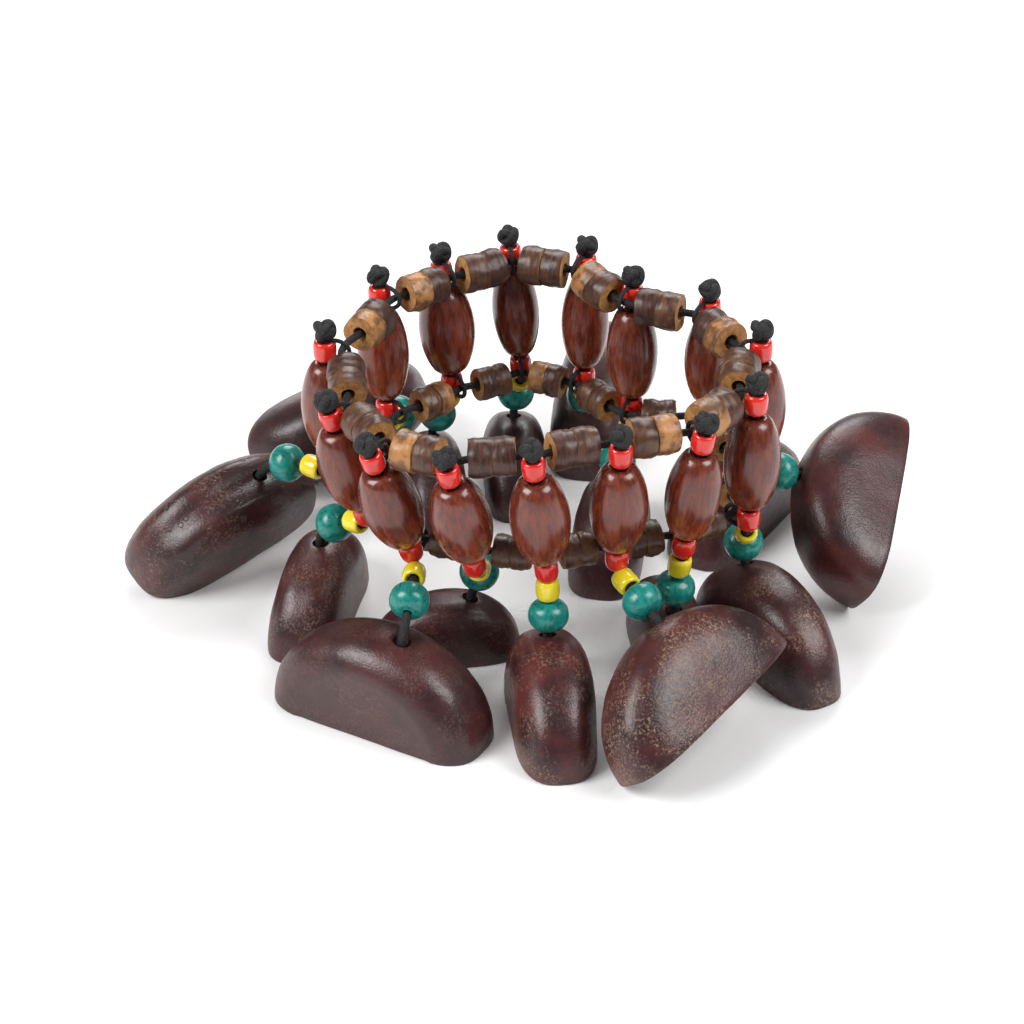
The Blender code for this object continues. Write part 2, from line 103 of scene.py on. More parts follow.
class Shading:
    """A small helper that adds and joins the nodes of one material."""

    def __init__(self, name: str) -> None:
        """Start a material with its Principled shader.

        Args:
            name: the material's name.
        """
        self.material = bpy.data.materials.new(name)
        self.material.use_nodes = True
        self.tree = self.material.node_tree
        self.shader = self.tree.nodes["Principled BSDF"]

    def node(self, kind: str, **settings: object) -> bpy.types.Node:
        """Add a node and set its properties.

        Args:
            kind: the node's type name.
            **settings: properties of the node.

        Returns:
            The new node.
        """
        made = self.tree.nodes.new(kind)
        for key, value in settings.items():
            setattr(made, key, value)
        return made

    def link(self, start: Socket, end: Socket) -> None:
        """Join two sockets."""
        self.tree.links.new(start, end)

    def attribute(self, name: str, output: str = "Fac") -> Socket:
        """Read an attribute of the piece's mesh.

        Args:
            name: the attribute.
            output: Fac for a number or Vector for a place.

        Returns:
            The output socket.
        """
        return self.node("ShaderNodeAttribute", attribute_name=name).outputs[output]

    def place(self, scale: Triple | float) -> Socket:
        """The piece's own coordinates in millimetres, times a scale.

        Args:
            scale: the factor along each local axis, or one for all three.

        Returns:
            A vector socket.
        """
        mapping = self.node("ShaderNodeMapping")
        mapping.inputs["Scale"].default_value = (scale,) * 3 if isinstance(scale, float) else scale
        self.link(self.attribute("local", "Vector"), mapping.inputs["Vector"])
        return mapping.outputs["Vector"]

    def noise(self, scale: Triple | float, detail: float, rough: float) -> Socket:
        """Noise on the piece's own coordinates.

        Args:
            scale: waves per millimetre along each local axis, or one for all three.
            detail: octaves.
            rough: how strong the finer octaves are.

        Returns:
            A number socket from 0 to 1.
        """
        made = self.node("ShaderNodeTexNoise")
        made.inputs["Scale"].default_value = 1.0
        made.inputs["Detail"].default_value = detail
        made.inputs["Roughness"].default_value = rough
        self.link(self.place(scale), made.inputs["Vector"])
        return made.outputs["Fac"]

    def cells(self, scale: float, feature: str) -> Socket:
        """Distance in a Voronoi pattern on the piece's own coordinates.

        Args:
            scale: cells per millimetre.
            feature: F1 or DISTANCE_TO_EDGE.

        Returns:
            A number socket.
        """
        made = self.node("ShaderNodeTexVoronoi", feature=feature)
        made.inputs["Scale"].default_value = 1.0
        self.link(self.place(scale), made.inputs["Vector"])
        return made.outputs["Distance"]

    def spread(self, value: Socket, low: float, high: float,
               out_low: float = 0.0, out_high: float = 1.0) -> Socket:
        """Map a range of a value to another range, with soft ends.

        Args:
            value: the number to map.
            low: the value that gives out_low.
            high: the value that gives out_high.
            out_low: the first result.
            out_high: the last result.

        Returns:
            A number socket.
        """
        made = self.node("ShaderNodeMapRange", interpolation_type="SMOOTHSTEP")
        made.inputs["From Min"].default_value = low
        made.inputs["From Max"].default_value = high
        made.inputs["To Min"].default_value = out_low
        made.inputs["To Max"].default_value = out_high
        self.link(value, made.inputs["Value"])
        return made.outputs["Result"]

    def maths(self, operation: str, first: Socket,
              second: Socket | float) -> Socket:
        """One sum on a socket and a socket or number.

        Args:
            operation: ADD, MULTIPLY and so on.
            first: the first value.
            second: the second value.

        Returns:
            A number socket.
        """
        made = self.node("ShaderNodeMath", operation=operation)
        self.link(first, made.inputs[0])
        if isinstance(second, (int, float)):
            made.inputs[1].default_value = second
        else:
            self.link(second, made.inputs[1])
        return made.outputs[0]

    def mix(self, share: Socket, first: object, second: object) -> Socket:
        """Blend two colours.

        Args:
            share: how much of the second colour.
            first: a colour socket or three numbers.
            second: a colour socket or three numbers.

        Returns:
            A colour socket.
        """
        made = self.node("ShaderNodeMix", data_type="RGBA")
        self.link(share, made.inputs[0])
        for socket, colour in ((made.inputs[6], first), (made.inputs[7], second)):
            if isinstance(colour, tuple):
                socket.default_value = (*colour, 1.0)
            else:
                self.link(colour, socket)
        return made.outputs[2]

    def bump(self, height: Socket, strength: float, depth: float,
             under: Socket | None = None) -> Socket:
        """Raise the surface by a height.

        Args:
            height: the height from 0 to 1.
            strength: the bump's strength.
            depth: the full height in millimetres.
            under: a normal that this bump is added to.

        Returns:
            A normal socket.
        """
        made = self.node("ShaderNodeBump")
        made.inputs["Strength"].default_value = strength
        made.inputs["Distance"].default_value = depth * MM
        self.link(height, made.inputs["Height"])
        if under is not None:
            self.link(under, made.inputs["Normal"])
        return made.outputs["Normal"]

    def finish(self, **sockets: object) -> Material:
        """Set the shader's sockets and return the material.

        Args:
            **sockets: socket names with underscores, each a number, a colour or a socket.

        Returns:
            The finished material.
        """
        for key, value in sockets.items():
            socket = self.shader.inputs[key.replace("_", " ")]
            if isinstance(value, Socket):
                self.link(value, socket)
            elif isinstance(value, tuple):
                socket.default_value = (*value, 1.0)
            else:
                socket.default_value = value
        return self.material


@dataclass(frozen=True)
class NutshellSkin:
    """The dark outer skin of a nutshell: satin, leathery, with dusty speckle."""

    deep: Triple = (0.022, 0.006, 0.008)
    maroon: Triple = (0.105, 0.019, 0.017)
    brown: Triple = (0.052, 0.017, 0.018)
    dull: Triple = (0.080, 0.048, 0.046)
    dust: Triple = (0.36, 0.235, 0.155)
    roughness: float = 0.34

    def make(self) -> Material:
        """Build the material.

        Returns:
            The nutshell's outer material.
        """
        s = Shading("nutshell_skin")
        clouds = s.noise(0.09, 4.0, 0.55)
        mottle = s.noise(0.9, 6.0, 0.65)
        red = s.mix(s.spread(clouds, 0.35, 0.68), self.deep, self.maroon)
        plain = s.mix(s.spread(clouds, 0.32, 0.7), self.deep, self.brown)
        colour = s.mix(s.attribute("redness"), plain, red)
        colour = s.mix(s.spread(mottle, 0.48, 0.75, 0.0, 0.35), colour, self.deep)
        flat = s.attribute("flat")
        colour = s.mix(s.maths("MULTIPLY", flat, 0.55), colour, self.dull)
        patches = s.spread(s.noise(0.12, 4.0, 0.65), 0.42, 0.62)
        grains = s.spread(s.noise(2.1, 6.0, 0.8), 0.50, 0.60)
        dusty = s.maths("MULTIPLY", s.maths("MULTIPLY", patches, grains), s.attribute("dust"))
        colour = s.mix(s.maths("MULTIPLY", dusty, 0.75), colour, self.dust)
        rings = s.cells(0.42, "F1")
        pit = s.maths("MULTIPLY", s.spread(rings, 0.16, 0.21), s.spread(rings, 0.27, 0.22))
        pit = s.maths("MULTIPLY", pit, s.attribute("pocks"))
        pebbles = s.spread(s.cells(2.1, "F1"), 0.0, 0.7)
        leather = s.maths("ADD", s.noise(3.4, 4.0, 0.6), pebbles)
        normal = s.bump(leather, 0.30, 0.055)
        normal = s.bump(s.noise(0.5, 3.0, 0.5), 0.25, 0.25, normal)
        normal = s.bump(pit, 0.6, 0.12, normal)
        rough = s.maths("ADD", s.spread(mottle, 0.3, 0.8, -0.05, 0.09), self.roughness)
        rough = s.maths("ADD", rough, s.maths("MULTIPLY", dusty, 0.35))
        rough = s.maths("ADD", rough, s.maths("MULTIPLY", flat, 0.12))
        return s.finish(Base_Color=colour, Roughness=rough, Normal=normal, Specular_IOR_Level=0.55)


@dataclass(frozen=True)
class FibrousFace:
    """A dry face of two tones along its fibres, such as a shell's inside or its sawn rim."""

    name: str
    dark: Triple
    pale: Triple
    fibres: Triple
    fineness: float
    roughness: float
    relief: tuple[float, float]

    def make(self) -> Material:
        """Build the material.

        Returns:
            The face's material.
        """
        s = Shading(self.name)
        fibres = s.noise(self.fibres, 5.0, self.fineness)
        colour = s.mix(s.spread(fibres, 0.35, 0.7), self.dark, self.pale)
        normal = s.bump(fibres, *self.relief)
        return s.finish(Base_Color=colour, Roughness=self.roughness, Normal=normal)


@dataclass(frozen=True)
class OvalWood:
    """Red-brown stained and lacquered wood with fine lengthwise grain."""

    dark: Triple = (0.080, 0.014, 0.008)
    body: Triple = (0.195, 0.030, 0.010)
    bright: Triple = (0.46, 0.095, 0.014)

    def make(self) -> Material:
        """Build the material.

        Returns:
            The oval bead's material.
        """
        s = Shading("oval_wood")
        grain = s.noise((1.3, 1.3, 0.22), 5.0, 0.5)
        pores = s.noise((6.5, 6.5, 0.6), 4.0, 0.7)
        drift = s.noise((0.14, 0.14, 0.10), 2.0, 0.5)
        height = s.node("ShaderNodeSeparateXYZ")
        s.link(s.attribute("bead", "Vector"), height.inputs["Vector"])
        worn = s.spread(height.outputs["Z"], 2.0, -9.0)
        worn = s.maths("MULTIPLY", worn, s.spread(drift, 0.38, 0.62, 0.25, 1.0))
        worn = s.maths("MULTIPLY", worn, s.attribute("tint"))
        colour = s.mix(s.spread(grain, 0.28, 0.74), self.dark, self.body)
        worn = s.maths("MULTIPLY", worn, s.spread(grain, 0.34, 0.62, 0.45, 0.9))
        colour = s.mix(worn, colour, self.bright)
        colour = s.mix(s.spread(pores, 0.58, 0.76, 0.0, 0.4), colour, self.dark)
        normal = s.bump(pores, 0.2, 0.04)
        rough = s.spread(grain, 0.3, 0.75, 0.22, 0.34)
        return s.finish(Base_Color=colour, Roughness=rough, Normal=normal, Coat_Weight=0.4,
                        Coat_Roughness=0.12)


@dataclass(frozen=True)
class CoconutBark:
    """The turned outer side of a coconut-shell bead."""

    dark: Triple = (0.024, 0.009, 0.007)
    brown: Triple = (0.080, 0.027, 0.017)
    tan: Triple = (0.44, 0.20, 0.065)

    def make(self) -> Material:
        """Build the material.

        Returns:
            The side's material.
        """
        s = Shading("coconut_bark")
        streaks = s.noise((0.35, 0.35, 2.3), 5.0, 0.6)
        fibres = s.noise((1.1, 1.1, 5.0), 5.0, 0.7)
        blotch = s.noise(0.33, 3.0, 0.6)
        colour = s.mix(s.spread(streaks, 0.36, 0.68), self.dark, self.brown)
        pale = s.maths("MULTIPLY", s.spread(blotch, 0.42, 0.6, 0.25, 1.0), s.attribute("tint"))
        colour = s.mix(pale, colour, self.tan)
        colour = s.mix(s.spread(fibres, 0.54, 0.72, 0.0, 0.6), colour, self.dark)
        normal = s.bump(fibres, 0.35, 0.09)
        normal = s.bump(streaks, 0.3, 0.14, normal)
        rough = s.spread(streaks, 0.3, 0.7, 0.28, 0.44)
        return s.finish(Base_Color=colour, Roughness=rough, Normal=normal)


@dataclass(frozen=True)
class CoconutCut:
    """The sawn face of a coconut-shell bead: tan with dark specks and a dark border."""

    tan: Triple = (0.56, 0.30, 0.105)
    ochre: Triple = (0.36, 0.155, 0.045)
    speck: Triple = (0.05, 0.022, 0.012)

    def make(self) -> Material:
        """Build the material.

        Returns:
            The face's material.
        """
        s = Shading("coconut_cut")
        bands = s.noise((0.9, 0.9, 0.5), 4.0, 0.6)
        specks = s.noise((4.2, 4.2, 1.0), 3.0, 0.7)
        colour = s.mix(s.spread(bands, 0.35, 0.68), self.ochre, self.tan)
        colour = s.mix(s.spread(specks, 0.57, 0.66, 0.0, 0.85), colour, self.speck)
        flat = s.node("ShaderNodeVectorMath", operation="MULTIPLY")
        flat.inputs[1].default_value = (1.0, 1.0, 0.0)
        s.link(s.attribute("bead", "Vector"), flat.inputs[0])
        reach = s.node("ShaderNodeVectorMath", operation="LENGTH")
        s.link(flat.outputs["Vector"], reach.inputs[0])
        border = s.maths("ADD", reach.outputs["Value"], s.maths("MULTIPLY", bands, 0.7))
        colour = s.mix(s.spread(border, 3.7, 4.2, 0.0, 0.9), colour, self.speck)
        return s.finish(Base_Color=colour, Roughness=0.6, Normal=s.bump(specks, 0.4, 0.1))


@dataclass(frozen=True)
class SeedGlass:
    """Glossy opaque glass of a seed bead."""

    name: str
    colour: Triple
    warm: Triple

    def make(self) -> Material:
        """Build the material.

        Returns:
            The bead's material.
        """
        s = Shading(self.name)
        clouds = s.noise(0.5, 2.0, 0.5)
        share = s.maths("MULTIPLY", s.spread(clouds, 0.3, 0.7, 0.5, 1.0), s.attribute("tint"))
        colour = s.mix(share, self.colour, self.warm)
        normal = s.bump(clouds, 0.2, 0.15)
        return s.finish(Base_Color=colour, Roughness=0.2, Normal=normal, Coat_Weight=0.6,
                        Coat_Roughness=0.06, Subsurface_Weight=0.08, Subsurface_Scale=0.001)


@dataclass(frozen=True)
class TealWood:
    """Stained and polished teal wood."""

    deep: Triple = (0.001, 0.135, 0.115)
    teal: Triple = (0.001, 0.245, 0.205)
    pale: Triple = (0.012, 0.36, 0.30)

    def make(self) -> Material:
        """Build the material.

        Returns:
            The bead's material.
        """
        s = Shading("teal_wood")
        grain = s.noise((1.4, 1.4, 0.3), 5.0, 0.6)
        flecks = s.noise((4.0, 4.0, 0.8), 3.0, 0.6)
        colour = s.mix(s.spread(grain, 0.34, 0.64), self.deep, self.teal)
        colour = s.mix(s.spread(flecks, 0.58, 0.72, 0.0, 0.55), colour, self.pale)
        rough = s.spread(grain, 0.3, 0.7, 0.25, 0.4)
        return s.finish(Base_Color=colour, Roughness=rough, Normal=s.bump(flecks, 0.2, 0.06),
                        Coat_Weight=0.3, Coat_Roughness=0.15)


@dataclass(frozen=True)
class WaxedThread:
    """Black waxed and braided thread."""

    black: Triple = (0.006, 0.006, 0.007)
    worn: Triple = (0.035, 0.035, 0.040)

    def make(self) -> Material:
        """Build the material.

        Returns:
            The thread's material.
        """
        s = Shading("waxed_thread")
        plait = s.cells(2.4, "F1")
        fuzz = s.noise(6.0, 3.0, 0.7)
        colour = s.mix(s.spread(fuzz, 0.45, 0.75), self.black, self.worn)
        normal = s.bump(plait, 0.8, 0.25)
        return s.finish(Base_Color=colour, Roughness=0.72, Normal=normal)


NUTSHELL_INSIDE = FibrousFace("nutshell_inside", (0.045, 0.022, 0.013), (0.19, 0.11, 0.065),
                              (0.35, 2.2, 0.35), 0.7, 0.8, (0.5, 0.2))
NUTSHELL_RIM = FibrousFace("nutshell_rim", (0.05, 0.014, 0.011), (0.17, 0.055, 0.032),
                           (1.1, 1.1, 3.0), 0.65, 0.55, (0.35, 0.08))
RED_GLASS = SeedGlass("red_glass", (0.62, 0.012, 0.011), (0.72, 0.030, 0.014))
YELLOW_GLASS = SeedGlass("yellow_glass", (0.80, 0.62, 0.012), (0.86, 0.74, 0.03))


@dataclass
class Finishes:
    """Every finish of the bracelet, made once."""

    skin: Material = field(default_factory=NutshellSkin().make)
    inside: Material = field(default_factory=NUTSHELL_INSIDE.make)
    rim: Material = field(default_factory=NUTSHELL_RIM.make)
    oval: Material = field(default_factory=OvalWood().make)
    bark: Material = field(default_factory=CoconutBark().make)
    cut: Material = field(default_factory=CoconutCut().make)
    teal: Material = field(default_factory=TealWood().make)
    thread: Material = field(default_factory=WaxedThread().make)
    red: Material = field(default_factory=RED_GLASS.make)
    yellow: Material = field(default_factory=YELLOW_GLASS.make)


class Bench:
    """The few workbench moves that every piece is made with."""

    @staticmethod
    def clear() -> None:
        """Deselect everything."""
        bpy.ops.object.select_all(action="DESELECT")

    @staticmethod
    def take(piece: Piece) -> None:
        """Select one object alone and make it active."""
        Bench.clear()
        piece.select_set(True)
        bpy.context.view_layer.objects.active = piece

    @staticmethod
    def apply_all(piece: Piece) -> None:
        """Apply every modifier of a piece, in order."""
        Bench.take(piece)
        for modifier in list(piece.modifiers):
            bpy.ops.object.modifier_apply(modifier=modifier.name)

    @staticmethod
    def turned(name: str, profile: list[tuple[float, float]], sides: int) -> Piece:
        """Turn a closed profile round the Z axis by extruding and scaling a circle.

        Args:
            name: the object's name.
            profile: (radius, height) points in millimetres, bore included, in order.
            sides: how many sides the circle has.

        Returns:
            The turned object, closed and facing outwards.
        """
        Bench.clear()
        radius, height = profile[0]
        bpy.ops.mesh.primitive_circle_add(vertices=sides, radius=radius * MM,
                                          location=(0, 0, height * MM))
        piece = bpy.context.object
        piece.name = name
        bpy.ops.object.transform_apply(location=True, rotation=True, scale=True)
        bpy.ops.object.mode_set(mode="EDIT")
        bpy.ops.mesh.select_all(action="SELECT")
        for next_radius, next_height in profile[1:] + profile[:1]:
            bpy.ops.mesh.extrude_region_move(
                TRANSFORM_OT_translate={"value": (0.0, 0.0, (next_height - height) * MM)}
            )
            share = next_radius / radius
            bpy.ops.transform.resize(value=(share, share, 1.0), center_override=(0.0, 0.0, 0.0))
            radius, height = next_radius, next_height
        bpy.ops.mesh.select_all(action="SELECT")
        bpy.ops.mesh.remove_doubles(threshold=WELD * MM)
        bpy.ops.mesh.normals_make_consistent(inside=False)
        bpy.ops.object.mode_set(mode="OBJECT")
        return piece

    @staticmethod
    def tube(name: str, points: list[Vector], radius: float, closed: bool) -> Piece:
        """A round thread along a smooth line.

        Args:
            name: the object's name.
            points: the line's points in millimetres.
            radius: the thread's radius in millimetres.
            closed: whether the line closes on itself.

        Returns:
            The thread as a mesh object.
        """
        curve = bpy.data.curves.new(name, "CURVE")
        curve.dimensions = "3D"
        curve.bevel_depth = radius * MM
        curve.bevel_resolution = 3
        curve.resolution_u = 5
        curve.use_fill_caps = not closed
        line = curve.splines.new("BEZIER")
        line.bezier_points.add(len(points) - 1)
        for knot, point in zip(line.bezier_points, points):
            knot.co = point * MM
            knot.handle_left_type = "AUTO"
            knot.handle_right_type = "AUTO"
        line.use_cyclic_u = closed
        thread = bpy.data.objects.new(name, curve)
        bpy.context.collection.objects.link(thread)
        Bench.take(thread)
        bpy.ops.object.convert(target="MESH")
        return bpy.context.object

    @staticmethod
    def joined(name: str, parts: list[Piece]) -> Piece:
        """Join objects into the first one.

        Args:
            name: the result's name.
            parts: the objects, the first of which is kept.

        Returns:
            The joined object.
        """
        Bench.clear()
        for part in parts:
            part.select_set(True)
        bpy.context.view_layer.objects.active = parts[0]
        bpy.ops.object.join()
        parts[0].name = name
        return parts[0]

    @staticmethod
    def remember(piece: Piece, name: str, offset: Vector) -> None:
        """Store a piece's own coordinates in millimetres, so that patterns ride with it.

        Args:
            piece: the mesh object, still at its own origin.
            name: the attribute.
            offset: what is added, so that two copies don't show the same pattern.
        """
        mesh = piece.data
        if name in mesh.attributes:
            mesh.attributes.remove(mesh.attributes[name])
        stored = mesh.attributes.new(name, "FLOAT_VECTOR", "POINT")
        places = np.empty(len(mesh.vertices) * 3, dtype=np.float32)
        mesh.vertices.foreach_get("co", places)
        places = places.reshape(-1, 3) / MM + np.array(offset, dtype=np.float32)
        stored.data.foreach_set("vector", places.ravel().astype(np.float32))

    @staticmethod
    def mark(piece: Piece, name: str, value: float) -> None:
        """Store one number over a whole piece.

        Args:
            piece: the mesh object.
            name: the attribute.
            value: the number.
        """
        mesh = piece.data
        stored = mesh.attributes.new(name, "FLOAT", "POINT")
        stored.data.foreach_set("value", np.full(len(mesh.vertices), value, dtype=np.float32))

    @staticmethod
    def copied(pattern: Piece, name: str, spot: Matrix, offset: Vector) -> Piece:
        """Copy a finished pattern piece with a mesh of its own and put it in place.

        Args:
            pattern: the piece modelled once at the origin.
            name: the copy's name.
            spot: where the copy goes, in metres.
            offset: shifts the copy's pattern, in millimetres.

        Returns:
            The copy, with its place in its mesh.
        """
        mesh = pattern.data.copy()
        piece = bpy.data.objects.new(name, mesh)
        bpy.context.collection.objects.link(piece)
        Bench.remember(piece, "bead", Vector((0.0, 0.0, 0.0)))
        Bench.remember(piece, "local", offset)
        mesh.transform(spot)
        return piece

    @staticmethod
    def smooth(piece: Piece, degrees: float) -> None:
        """Shade smooth with edges sharper than an angle kept crisp."""
        Bench.take(piece)
        bpy.ops.object.shade_smooth_by_angle(angle=math.radians(degrees))

    @staticmethod
    def hand_over(piece: Piece, slot: Slot, *nodes: str) -> None:
        """Tie a finished piece to its body and hide the nodes that it stands for.

        Args:
            piece: the finished piece.
            slot: the record's material slot; not used.
            *nodes: the CAD nodes that it replaces.
        """
        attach(piece, BODY)
        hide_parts(*nodes)


def pointed(axis: Vector, centre: Vector) -> Matrix:
    """A placing matrix whose Z axis points along an axis.

    Args:
        axis: the direction of local Z.
        centre: the place of the local origin, in millimetres.

    Returns:
        The matrix in metres.
    """
    up = axis.normalized()
    start = Vector((1.0, 0.0, 0.0))
    if abs(start.normalized().dot(up)) > NEARLY_ALONG:
        start = Vector((0.0, 1.0, 0.0))
    side = (start - up * start.dot(up)).normalized()
    turn = Matrix((side, up.cross(side), up)).transposed().to_4x4()
    return Matrix.Translation(centre * MM) @ turn


def any_turn(rng: random.Random) -> Matrix:
    """A random turn about the Z axis."""
    return Matrix.Rotation(rng.uniform(0.0, 2.0 * math.pi), 4, "Z")


def any_shift(rng: random.Random) -> Vector:
    """A random shift of a pattern, in millimetres."""
    return Vector([rng.uniform(0, PATTERN_SHIFT) for _ in range(3)])


def squared(angle: float, power: float) -> tuple[float, float]:
    """A point on the outline of a rounded square.

    Args:
        angle: how far round it is, in radians.
        power: 2 for a circle, and more for a squarer outline.

    Returns:
        The point, for a half width of 1.
    """
    side, up = math.cos(angle), math.sin(angle)
    fuller = (abs(side) ** power + abs(up) ** power) ** (1.0 / power)
    return side / fuller, up / fuller


@dataclass(frozen=True)
class BeadSizes:
    """The sizes that the frame's beads were made with, in millimetres.

    The oval's fullness and the shell's power and band ease are exponents, the teal's turn is a
    share, the coconut's tilt is in degrees, and the shell's sides and bands are counts.
    """

    oval_length: float = 18.6
    oval_radius: float = 5.4
    oval_end: float = 2.5
    oval_fullness: float = 0.62
    bore: float = 1.3
    seat_neck: float = 1.05
    seed_radius: float = 2.15
    seed_length: float = 3.3
    seed_bore: float = 0.95
    seed_visible: float = 3.9
    teal_radius: float = 3.65
    teal_length: float = 6.0
    teal_end: float = 2.0
    teal_turn: float = 0.35
    ease: float = 0.2
    corner_ease: float = 0.25
    corner_radius: float = 1.25
    elastic_radius: float = 0.7
    gap: float = 0.3
    coco_swell: float = 0.3
    upper_coco: tuple[float, float] = (3.9, 3.8)
    lower_coco: tuple[float, float] = (3.4, 2.9)
    coco_groove: float = 0.3
    coco_inset: float = 0.4
    coco_tilt: float = 5.0
    knot_length: float = 3.4
    shell: Triple = (21.5, 9.8, 18.8)
    shell_wall: float = 2.0
    shell_hole: float = 1.6
    shell_power: float = 3.0
    shell_sides: int = 16
    shell_bands: int = 4
    shell_band_ease: float = 0.9

    @property
    def red_reach(self) -> float:
        """From the middle of an oval bead to the middle of a red bead."""
        return self.oval_length / 2.0 + self.seat_neck + self.seed_length / 2.0

    @property
    def elastic_offset(self) -> float:
        """From a red bead's middle to the elastic beside it."""
        return self.seed_radius + self.gap + self.elastic_radius


SIZES = BeadSizes()


@dataclass(frozen=True)
class NutPose:
    """How one nutshell hangs and what its skin is like.

    The first seven values repeat the poses of the frame's source.
    """

    size: float
    cord_heading: float
    heading: float
    lean: float
    pitch: float
    lead: float
    hole: float
    redness: float = 0.3
    dust: float = 0.3
    pocks: float = 0.0
    panel: float = 0.5
    taper: float = 0.05
    ridges: float = 0.0
    skin_marks: ClassVar[tuple[str, ...]] = ("redness", "dust", "pocks")


POSES = (
    NutPose(1.00, 75, 45, -58, 0, 4.0, 0, redness=0.55, dust=0.1),
    NutPose(0.76, 128, 95, 0, 0, 1.0, 15, taper=0.10),
    NutPose(0.72, 102, 92, 0, 0, 1.5, 15, taper=-0.05),
    NutPose(0.98, 88, 80, 0, 8, 2.5, -38, panel=0.7, taper=0.10),
    NutPose(0.78, -120, 80, 0, 0, 1.0, 0),
    NutPose(0.90, 35, 58, 0, 0, 0.0, 0, panel=0.6, taper=0.0),
    NutPose(0.97, 60, 76, 60, 24, 0.0, 0, redness=0.75, dust=0.1, taper=0.10),
    NutPose(0.90, 95, -60, 0, 0, 0.0, -28, dust=1.0, taper=0.10),
    NutPose(0.72, 145, 100, 0, 0, 1.5, -20),
    NutPose(0.98, -60, 48, 40, 12, 0.0, 8, redness=0.55, dust=1.0, panel=0.3, taper=0.12),
    NutPose(0.86, -75, -84, 0, 0, 0.1, -20, redness=1.0, dust=0.75, panel=0.4),
    NutPose(0.66, 85, 8, 0, 0, 4.0, 20, taper=0.0),
    NutPose(1.00, -93, -28, 0, 0, 2.6, 12, dust=0.2, panel=1.5, taper=-0.05),
    NutPose(0.82, 138, 77, 0, 0, 2.0, 4, redness=0.55, dust=0.8, panel=0.6, taper=0.08),
    NutPose(0.95, 145, 38, -28, 8, 2.5, 20, redness=0.4, dust=0.5, pocks=1.0, taper=0.08,
            ridges=1.0),
)


@dataclass(frozen=True)
class ShellForm:
    """The fine form that every nutshell shares.

    Places and heights on the broad faces are shares of the half width. The row gap, the waves'
    heights, the foot and the edge are millimetres, and the last two angles are degrees.
    """

    segments: int = 96
    rings: int = 56
    snug: float = 0.985
    face_share: float = 0.10
    shoulder: float = 0.035
    dish: float = 0.022
    ridge_place: float = 0.50
    ridge_width: float = 0.10
    ridge_height: float = 0.015
    valley_width: float = 0.26
    valley_depth: float = 0.045
    row_gap: float = 0.55
    blend_rows: float = 3.0
    waves: tuple[tuple[float, float], ...] = ((0.07, 0.34), (0.24, 0.12))
    foot: float = 3.0
    dull_fade: float = 0.09
    dull_panel: float = 1.2
    edge: float = 0.22
    edge_angle: float = 50.0
    smooth_angle: float = 38.0


FORM = ShellForm()


@dataclass
class Station:
    """One thread's place, read from its oval bead in the frame."""

    number: int
    centre: Vector
    axis: Vector
    girth: float
    inward: dict[Level, Vector] = field(default_factory=dict)

    @classmethod
    def from_frame(cls, number: int) -> "Station":
        """Read a station's line from its oval bead's node.

        Args:
            number: the station, from 1.

        Returns:
            The station, without its directions towards the wrist.
        """
        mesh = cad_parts[f"oval_bead_{number:02d}"].data
        places = np.array([vertex.co for vertex in mesh.vertices]) / MM
        places = np.unique(places.round(4), axis=0)
        middle = (places.min(axis=0) + places.max(axis=0)) / 2.0
        spread = np.cov((places - places.mean(axis=0)).T)
        axis = Vector(np.linalg.eigh(spread)[1][:, 2])
        if axis.z < 0.0:
            axis = -axis
        axis.normalize()
        reach = max((Vector(place) - Vector(middle)).cross(axis).length for place in places)
        return cls(number, Vector(middle), axis, reach / SIZES.oval_radius)

    def red(self, level: Level) -> Vector:
        """The middle of the red bead at a level."""
        side = 1.0 if level is Level.UPPER else -1.0
        return self.centre + self.axis * side * SIZES.red_reach

    def crossing(self, level: Level) -> Vector:
        """Where the elastic passes at a level."""
        return self.red(level) + self.inward[level] * SIZES.elastic_offset


def read_stations(count: int) -> list[Station]:
    """Read every station and give it its directions towards the wrist.

    Args:
        count: how many stations the bracelet has.

    Returns:
        The stations in order.
    """
    stations = [Station.from_frame(k + 1) for k in range(count)]
    for level in Level:
        reds = [station.red(level) for station in stations]
        for k, station in enumerate(stations):
            along = reds[(k + 1) % count] - reds[k - 1]
            along.z = 0.0
            inward = along.cross(UPRIGHT).normalized()
            inward -= station.axis * inward.dot(station.axis)
            station.inward[level] = inward.normalized()
    return stations


